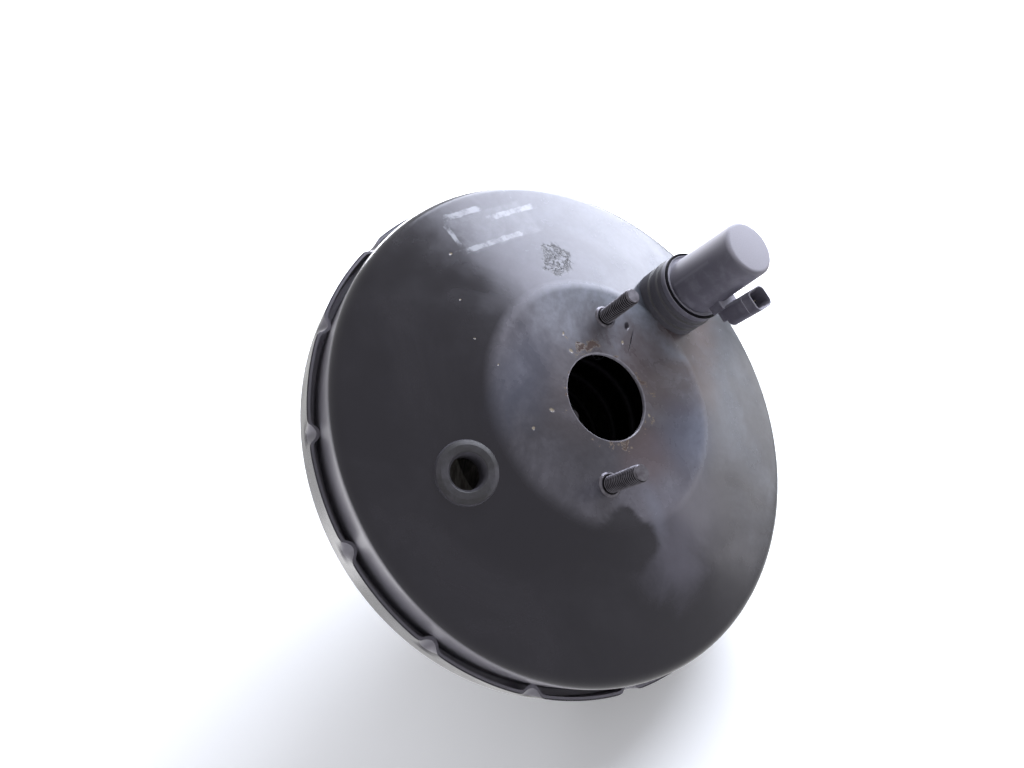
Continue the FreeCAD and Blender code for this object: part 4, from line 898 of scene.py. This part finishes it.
class BOOSTER_OT_vacuum_grommet(bpy.types.Operator):
    """Draw the rubber grommet that takes the vacuum check valve."""

    bl_idname = "booster.vacuum_grommet"
    bl_label = "Vacuum grommet"

    def execute(self, context):
        s = millimetres(context)
        flange = s.port_flange
        outline = bent([
            (s.port_bore, -0.6),
            (s.port_bore + 1.0, -2.3),
            (flange - 2.6, -2.35),
            (flange - 0.7, -1.5),
            (flange, 0.35),
            (s.port_hole, 0.35),
            (s.port_hole, 2.0),
            (flange - 0.1, 2.2),
            (flange - 2.5, 6.2),
            (9.0, 8.8),
            (s.port_bore, 8.9),
        ], {1: 0.7, 2: 0.8, 3: 0.7, 7: 0.5, 8: 1.2}, 5)
        grommet = moved(turned("vacuum_port_grommet", outline, 80), port_place(s))
        dress(context, grommet, "black_rubber", "housing", ["vacuum_grommet"])
        return {"FINISHED"}


class BOOSTER_OT_sensor(bpy.types.Operator):
    """Draw the travel sensor with its rubber boss, rings, connector, terminals and plunger spring."""

    bl_idname = "booster.sensor"
    bl_label = "Travel sensor"

    def execute(self, context):
        s = millimetres(context)
        place = at(s.sensor_x, 0, s.sensor_z, s.connector_turn)
        self.boss(context, s)
        self.housing(context, s, place)
        self.terminals(context, s, place)
        radius, wire, y = 18.15, 0.62, -s.pad - s.sensor_seat - 3.66
        around = [FULL_TURN * k / 12 for k in range(12)]
        outline = [(radius + wire * math.cos(a), y + wire * math.sin(a)) for a in around]
        ring = moved(turned("sensor_clip_ring", outline, 72), at(s.sensor_x, 0, s.sensor_z))
        dress(context, ring, "spring_steel", "housing", ["sensor_retaining_ring"])
        axis = (s.sensor_x, s.sensor_z)
        spring = coil("sensor_coil", 3.9, 0.6, 6, -87.6, -26.6, 10, *axis, steps=32)
        dress(context, spring, "spring_steel", None, ["sensor_spring"])
        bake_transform(spring)
        return {"FINISHED"}

    def boss(self, context, s):
        """Ribbed rubber boss."""
        top, waist, rib = -s.pad - s.sensor_seat, s.boss - 0.9, s.boss
        cone, bore = -s.pad + 8.8, 11.5
        outline = bent([
            (bore, top),
            (waist, top),
            (waist, top + 2.9),
            (rib, top + 3.6),
            (rib, top + 6.2),
            (waist, top + 6.9),
            (waist, top + 9.4),
            (rib, top + 10.1),
            (rib + 0.05, cone),
            (s.sensor_hole, cone + 0.2),
            (s.sensor_hole - 0.1, cone + 2.8),
            (bore, cone + 2.8),
        ], {1: 0.5, 3: 0.6, 4: 0.6, 7: 0.6}, 4)
        boss = moved(turned("sensor_boss", outline, 88), at(s.sensor_x, 0, s.sensor_z))
        dress(context, boss, "black_rubber", "housing", ["sensor_grommet"])

    def housing(self, context, s, place):
        """Tapered sensor housing with its arm, ledge and open connector."""
        top = -s.pad - s.sensor_height
        flange = -s.pad - s.sensor_seat
        bottom, stem, bore, rim = -s.pad + 12, 11.35, 3.1, 18.75
        root = s.sensor_radius + 1.4
        ledge_low, ledge_high = flange - 28.4, flange - 5.0

        def ledged(angle, r, y):
            local = math.degrees(angle - s.connector_turn) % 360
            if ledge_low < y <= ledge_high and 197 <= local <= 300:
                return r + 0.6
            return r

        taper = (root - s.sensor_radius) / (flange - 3.0 - top)
        side = [
            (root + taper * (y - flange + 3.0), y)
            for y in (flange - 4.6, ledge_high + 0.05, ledge_high, ledge_low, ledge_low - 0.05)
        ]
        body = turned("sensor_housing", bent([
            (bore, bottom),
            (stem, bottom),
            (stem, flange),
            (rim, flange),
            (rim, flange - 3.0),
            (17.35, flange - 3.0),
            (17.25, flange - 4.1),
            (16.9, flange - 4.1),
            (16.7, flange - 3.3),
            (root + 0.1, flange - 3.2),
            *side,
            (s.sensor_radius, top),
            (0, top),
            (0, top + 5),
            (bore, top + 5),
        ], {3: 0.3, 4: 0.5, 6: 0.15, 7: 0.15, 15: 2.2}, 6), 120, wrap=False, shape=ledged)
        body = combined(body, self.connector(s), "UNION", 32)
        dress(context, moved(body, place), "dark_plastic", "housing", ["sensor_body"])

    def connector(self, s):
        """The arm, its step and the open plug of the side connector, as loose shells."""
        inside, outside = s.connector_offset - 5.5, s.connector_offset + 5.5
        half, foot, mouth = 6.5, -s.pad - 26, -s.pad - 45
        arm = surface("arm", [
            rounded_rectangle(8, inside + 1.2, half - 0.25, foot + 4.4, 0.8),
            rounded_rectangle(8, inside + 1.4, half, foot + 4.0, 0.9),
            rounded_rectangle(8, inside + 1.4, half, foot - 2.6, 0.9),
            rounded_rectangle(8, inside + 1.2, half - 0.25, foot - 3.0, 0.8),
        ])
        step = surface("step", [
            rounded_rectangle(inside - 2, outside - 4.2, half - 0.9, foot + 2.0, 0.8),
            rounded_rectangle(inside - 2, outside - 4.0, half - 0.5, foot + 1.4, 0.9),
            rounded_rectangle(inside - 2, outside - 4.0, half - 0.5, foot - 3, 0.9),
        ])
        wall = 1.5
        # Each loop lies a little inside the plug's outline, at its station, with its own corners.
        insets = (
            (1.6, 1.9, 1.6, foot - 0.1, 1.4),
            (0.4, 0.6, 0.5, foot - 0.8, 2.5),
            (0, 0, 0, foot - 2.0, 3.0),
            (0, 0, 0, mouth + 5.3, 3.0),
            (0.22, 0.22, 0.22, mouth + 5.1, 2.9),
            (0.22, 0.22, 0.22, mouth + 4.7, 2.9),
            (0, 0, 0, mouth + 4.5, 3.0),
            (0, 0, 0, mouth + 0.4, 3.0),
            (0.3, 0.3, 0.3, mouth, 2.8),
            (0.6, 0.6, 0.6, mouth + 0.1, 2.6),
            (wall, wall, wall, mouth + 3.5, 2.0),
            (wall, wall, wall, mouth + 10, 2.0),
        )
        plug = surface("plug", [
            rounded_rectangle(inside + near, outside - far, half - side, y, corner)
            for near, far, side, y, corner in insets
        ])
        return [arm, step, plug]

    def terminals(self, context, s, place):
        """Three tinned blades with pointed ends."""
        blades = []
        floor, pitch, x = -s.pad - 35, 2.8, s.connector_offset
        levels = ((0.4, 0.75, floor + 0.5), (0.4, 0.75, floor - 4.2), (0.2, 0.4, floor - 5.0))
        corners = ((1, 1), (-1, 1), (-1, -1), (1, -1))
        for i in (-1, 0, 1):
            blades.append(surface("blade", [
                [(x + half_x * a, y, pitch * i + half_z * b) for a, b in corners]
                for half_x, half_z, y in levels
            ]))
        piece = moved(joined("sensor_blades", blades), place)
        dress(context, piece, "tinned_brass", "housing", ["sensor_terminals"])


class BOOSTER_OT_springs(bpy.types.Operator):
    """Draw the return spring and the two small springs of the control valve."""

    bl_idname = "booster.springs"
    bl_label = "Springs"

    def execute(self, context):
        # Name, CAD node, radius, wire, turns, ends, bodies and facets round the wire.
        rows = (
            ("piston_return_coil", "return_spring", 31, 1.8, 4, -95.1, -25.4, "housing", "power_piston", 14),
            ("poppet_coil", "poppet_spring", 11.85, 0.45, 2, -5.1, 1.9, "valve_plunger", "power_piston", 10),
            ("rod_coil", "rod_return_spring", 10.9, 0.6, 2, 6.3, 12.6, "power_piston", "valve_plunger", 10),
        )
        for name, cad_node, radius, wire, turns, low, high, first, second, around in rows:
            piece = coil(name, radius, wire, turns, low, high, around)
            dress(context, piece, "spring_steel", None, [cad_node])
            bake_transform(piece)
        return {"FINISHED"}


class BOOSTER_OT_rubber(bpy.types.Operator):
    """Draw the diaphragm, the poppet and the dust boot."""

    bl_idname = "booster.rubber"
    bl_label = "Diaphragm, poppet and boot"

    def execute(self, context):
        s = millimetres(context)
        self.boot(context, s)
        self.diaphragm(context)
        seat, neck, flange, bore = 14.5, 10.5, 17.3, 8.9
        outline = bent([
            (7.5, -7.7),
            (seat, -7.7),
            (seat, -5.2),
            (neck, -5.2),
            (neck, 2.0),
            (flange, 2.0),
            (flange, 5.0),
            (bore, 5.0),
            (bore, -5.2),
            (7.5, -5.2),
        ], {1: 0.6, 2: 0.4, 6: 0.5}, 4)
        poppet = turned("control_valve_poppet", outline, 72)
        dress(context, poppet, "black_rubber", None, ["poppet_valve"])
        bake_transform(poppet)
        return {"FINISHED"}

    def boot(self, context, s):
        """Bellows from the neck to the rod, with a bead at its mouth."""
        outside, cuff, wall = s.neck + 1.5, 5.9, 1.45
        corners = [
            (outside + 0.4, 5.0),
            (outside + 0.4, 7.2),
            (outside - 0.1, 8.0),
            (outside - 0.1, 18.4),
            (outside - 6.2, 19.6),
            (outside - 2.6, 21.75),
            (outside - 8.6, 23.9),
            (outside - 5.0, 26.05),
            (outside - 11.0, 28.2),
            (cuff, 29.3),
            (cuff, 31.3),
        ]
        bends = {1: 0.4, 2: 0.4, 3: 1.9, 4: 0.6, 5: 1.1, 6: 0.6, 7: 1.1, 8: 0.6, 9: 1.4}
        outline = sheet_outline(bent(corners, bends, 6), wall, 3.0)
        boot = turned("rod_bellows", outline, 112)
        dress(context, boot, "black_rubber", None, ["dust_boot"])
        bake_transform(boot)

    def diaphragm(self, context):
        """Rolling diaphragm with its outer bead."""
        hub, plate, roll, bead = 34.2, 108.5, 117.8, 128.0
        corners = [
            (hub, -24),
            (38, -24),
            (46, -20),
            (plate, -20),
            (roll, -31.5),
            (roll, -51.2),
            (bead, -51.2),
        ]
        path = bent(corners, {1: 2.4, 2: 2.4, 3: 6, 4: 6, 5: 2.2}, 8)
        outline = sheet_outline(path, 2.0, 4.0)
        piece = turned("rolling_diaphragm", outline, 160)
        dress(context, piece, "black_rubber", None, ["diaphragm"])
        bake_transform(piece)


class BOOSTER_OT_pushrod(bpy.types.Operator):
    """Draw the input rod with its ball and thread, the lock nut and the clevis."""

    bl_idname = "booster.pushrod"
    bl_label = "Pushrod"

    def execute(self, context):
        self.rod(context)
        self.nut(context)
        self.clevis(context)
        return {"FINISHED"}

    def rod(self, context):
        """Ball-ended rod, threaded behind the boot."""
        ball, centre, shank, shoulder, end = 4.5, -12.3, 4.0, 11.5, 31.0
        round_end = [
            (ball * math.sin(angle), centre - ball * math.cos(angle))
            for angle in (math.radians(degrees) for degrees in range(0, 136, 9))
        ]
        side = bent([
            (3.15, -8.0),
            (shank, -4.0),
            (shank, 13.0),
            (shoulder, 13.0),
            (shoulder, 14.5),
            (shank, 14.5),
            (shank, end - 0.6),
            (3.7, end),
            (0, end),
        ], {3: 0.4, 4: 0.4}, 4)
        body = turned("body", round_end + side, 48, wrap=False)
        thread = threaded_rod("thread", 4.48, 1.25, end - 0.4, 46.5, 0.8)
        piece = joined("input_rod_turned", [body, thread])
        dress(context, piece, "zinc_steel", "pushrod", ["input_rod"])

    def nut(self, context):
        """Hexagon nut with chamfered corners and a countersunk bore."""
        low, high, flat = 33.5, 38.5, 8.0
        corner = flat / math.cos(math.pi / 6)
        steps = 72

        def hexagon(limit, y):
            loop = []
            for k in range(steps):
                angle = FULL_TURN * k / steps
                local = (angle + math.pi / 6) % (math.pi / 3) - math.pi / 6
                r = min(flat / math.cos(local), limit)
                loop.append((r * math.cos(angle), y, r * math.sin(angle)))
            return loop

        bore, sunk, face, edge = 4.5, 5.1, 7.6, 8.6
        chamfer = [(sunk, 0), (face, 0), (edge, 0.6), (corner, 1.1)]
        levels = [(r, low + y) for r, y in chamfer] + [(r, high - y) for r, y in chamfer[::-1]]
        levels += [(bore, high - 0.5), (bore, low + 0.5)]
        piece = surface("rod_lock_nut", [hexagon(r, y) for r, y in levels], wrap=True, smooth=25)
        dress(context, piece, "zinc_steel", "pushrod", ["lock_nut"])

    def clevis(self, context):
        """Pressed fork with a round barrel and a hole for the pedal's pin."""
        low, end, half, side = 38.5, 64.45, 10.5, 9.0
        barrel = bent([(0, low), (8.0, low), (8.0, 47.2), (0, 47.2)], {1: 0.8}, 4)
        barrel = turned("clevis_fork", barrel, 64, wrap=False)
        root = 42.0
        loop = [(root, -side), (end, -side), (end, side), (root, side)]
        loop = bent(loop, {0: 2.2, 1: 8.9, 2: 8.9, 3: 2.2}, 10)
        # The block's flat sides draw in a little along their edges.
        middle, reach = 53, 11
        levels = ((-half, 0.6), (-half + 0.6, 0.0), (half - 0.6, 0.0), (half, 0.6))
        block = surface("block", [
            [(x, middle + (y - middle) * (1 - inset / reach), z * (1 - inset / side)) for y, z in loop]
            for x, inset in levels
        ])
        slot, slot_low, slot_high = 6, 46.5, 70
        corners = ((-slot, slot_low), (slot, slot_low), (slot, slot_high), (-slot, slot_high))
        gap = surface("gap", [[(x, y, z) for x, y in corners] for z in (-12, 12)])
        eye = Matrix.Translation((0, 55.5, 0)) @ Matrix.Rotation(math.pi / 2, 4, "Z")
        pin = moved(cylinder("pin", 5, -14, 14), eye)
        bore = cylinder("bore", 4.52, 36, 48.5)
        fork = combined(combined(barrel, [block], "UNION"), [gap, pin, bore], "DIFFERENCE", 30)
        dress(context, fork, "zinc_steel", "pushrod", ["clevis"])


class BOOSTER_OT_inside(bpy.types.Operator):
    """Give every carried-over CAD piece its finish."""

    bl_idname = "booster.inside"
    bl_label = "Inner pieces"

    def execute(self, context):
        slots = {row["node"]: row["material_slot"] for row in frame["record"]["subparts"]}
        for name, item in frame["nodes"].items():
            finish = finishes(context)[FINISH[slots[name]]]
            for place in item.material_slots:
                place.material = finish
            if not item.material_slots:
                item.data.materials.append(finish)
        return {"FINISHED"}


class BOOSTER_OT_stage(bpy.types.Operator):
    """Set the camera, the lamps, the world and the pale floor."""

    bl_idname = "booster.stage"
    bl_label = "Stage"

    def execute(self, context):
        self.camera(context)
        self.world(context)
        self.lamps(context)
        self.floor(context)
        context.scene.view_settings.view_transform = "Standard"
        return {"FINISHED"}

    def camera(self, context):
        """The photograph's viewpoint, worked out from the holes, studs and collar."""
        data = bpy.data.cameras.new("camera")
        data.sensor_width = 36.0
        data.lens = 22.83
        data.clip_start = 0.01
        camera = bpy.data.objects.new("camera", data)
        place = (-0.117, -0.334, 0.164)
        ahead = Vector((0.396, 0.826, -0.402)).normalized()
        above = Vector((0.918, -0.341, 0.203))
        right = ahead.cross(above).normalized()
        above = right.cross(ahead)
        facing = Matrix((right, above, -ahead)).transposed().to_4x4()
        camera.matrix_world = Matrix.Translation(place) @ facing
        context.scene.collection.objects.link(camera)
        context.scene.camera = camera

    def world(self, context):
        """A white surround for the eye and for reflections, and a soft grey light for the rest."""
        world = bpy.data.worlds.new("surround")
        world.use_nodes = True
        world.node_tree.nodes.clear()
        add = partial(node, world.node_tree)
        path = add("LightPath").node.outputs
        seen = add(HIGHER, path["Is Camera Ray"], path["Is Glossy Ray"])
        seen = add(HIGHER, seen, path["Is Transmission Ray"])
        light = add("Background", rgba("#e6e8f0"), 0.42)
        white = add("Background", (1, 1, 1, 1), 1.0)
        add("OutputWorld", add("MixShader", seen, light, white))
        context.scene.world = world

    def lamps(self, context):
        """A wide window light high on one side and a soft fill behind."""
        centre = Vector((0, -0.06, 0))
        # Name, direction, distance and size in metres, power in watts and colour.
        rows = (
            ("window", (0.914, -0.318, -0.254), 1.5, 1.35, 1.2, 52.0, "#edf3ff"),
            ("far_window", (0.896, 0.432, 0.097), 1.6, 1.2, 0.4, 22.0, "#f6f8ff"),
            ("wall", (0.232, -0.374, -0.899), 1.6, 1.15, 0.4, 2.4, "#ffffff"),
            ("fill", (-0.35, 0.75, 0.56), 1.6, 1.2, 1.2, 9.0, "#ffffff"),
        )
        for name, direction, distance, wide, high, power, colour in rows:
            data = bpy.data.lights.new(name, "AREA")
            data.shape = "RECTANGLE"
            data.size, data.size_y = wide, high
            data.energy = power
            data.color = linear(colour)
            lamp = bpy.data.objects.new(name, data)
            towards = Vector(direction).normalized()
            side = FLOOR_NORMAL.cross(towards).normalized()
            facing = Matrix((side, towards.cross(side), towards)).transposed().to_4x4()
            lamp.matrix_world = Matrix.Translation(centre + towards * distance) @ facing
            context.scene.collection.objects.link(lamp)

    def floor(self, context):
        """A pale matt floor that shows the booster's shadow."""
        mesh = bpy.data.meshes.new("floor")
        reach = 8.0
        east = FLOOR_NORMAL.orthogonal().normalized() * reach
        north = FLOOR_NORMAL.cross(east)
        middle = FLOOR_NORMAL * FLOOR_LEVEL
        corners = [middle - east - north, middle + east - north, middle + east + north, middle - east + north]
        mesh.from_pydata(corners, [], [(0, 1, 2, 3)])
        floor = bpy.data.objects.new("floor", mesh)
        context.scene.collection.objects.link(floor)
        floor.visible_shadow = False
        floor.visible_glossy = False
        # Pale floor covering is matt, so it takes a soft shadow and no reflection.
        material, add = new_material("pale_matt_vinyl")
        matt = add("BsdfDiffuse", (*context.scene.booster_colours.floor, 1))
        # The glow makes up for the lamps' fall with distance, so that the floor stays white.
        away = add(REACH, add("TexCoord", out="Object"))
        glow = add("Emission", (1, 1, 1, 1), add(EASED, away, 0.25, 1.1, 0.22, 0.85))
        # From below the floor lets the eye through.
        below = add("NewGeometry", out="Backfacing")
        shown = add("MixShader", below, add("AddShader", matt, glow), add("BsdfTransparent"))
        add("OutputMaterial", shown)
        mesh.materials.append(material)


STEPS = (
    BOOSTER_OT_stage,
    BOOSTER_OT_front_shell,
    BOOSTER_OT_rear_shell,
    BOOSTER_OT_studs,
    BOOSTER_OT_vacuum_grommet,
    BOOSTER_OT_sensor,
    BOOSTER_OT_springs,
    BOOSTER_OT_rubber,
    BOOSTER_OT_pushrod,
    BOOSTER_OT_inside,
)


class BOOSTER_PT_pieces(bpy.types.Panel):
    """Lists the steps and the sizes and colours that they use."""

    bl_idname = "BOOSTER_PT_pieces"
    bl_label = "Brake booster"
    bl_space_type = "VIEW_3D"
    bl_region_type = "UI"
    bl_category = "Booster"

    def draw(self, context):
        layout = self.layout
        for step in STEPS:
            layout.operator(step.bl_idname)
        for group in (context.scene.booster_sizes, context.scene.booster_colours):
            box = layout.box()
            for prop in group.bl_rna.properties:
                if prop.identifier not in ("rna_type", "name"):
                    box.prop(group, prop.identifier)


CLASSES = (BoosterSizes, BoosterColours, *STEPS, BOOSTER_PT_pieces)


def register():
    """Register the classes and hang the sizes and colours on the scene."""
    for item in CLASSES:
        bpy.utils.register_class(item)
    bpy.types.Scene.booster_sizes = bpy.props.PointerProperty(type=BoosterSizes)
    bpy.types.Scene.booster_colours = bpy.props.PointerProperty(type=BoosterColours)


def unregister():
    """Take the classes and the scene's groups away."""
    del bpy.types.Scene.booster_colours
    del bpy.types.Scene.booster_sizes
    for item in reversed(CLASSES):
        bpy.utils.unregister_class(item)


def main():
    """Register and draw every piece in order."""
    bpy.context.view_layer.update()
    register()
    for step in STEPS:
        group, name = step.bl_idname.split(".")
        getattr(getattr(bpy.ops, group), name)()


if __name__ == "__main__":
    main()
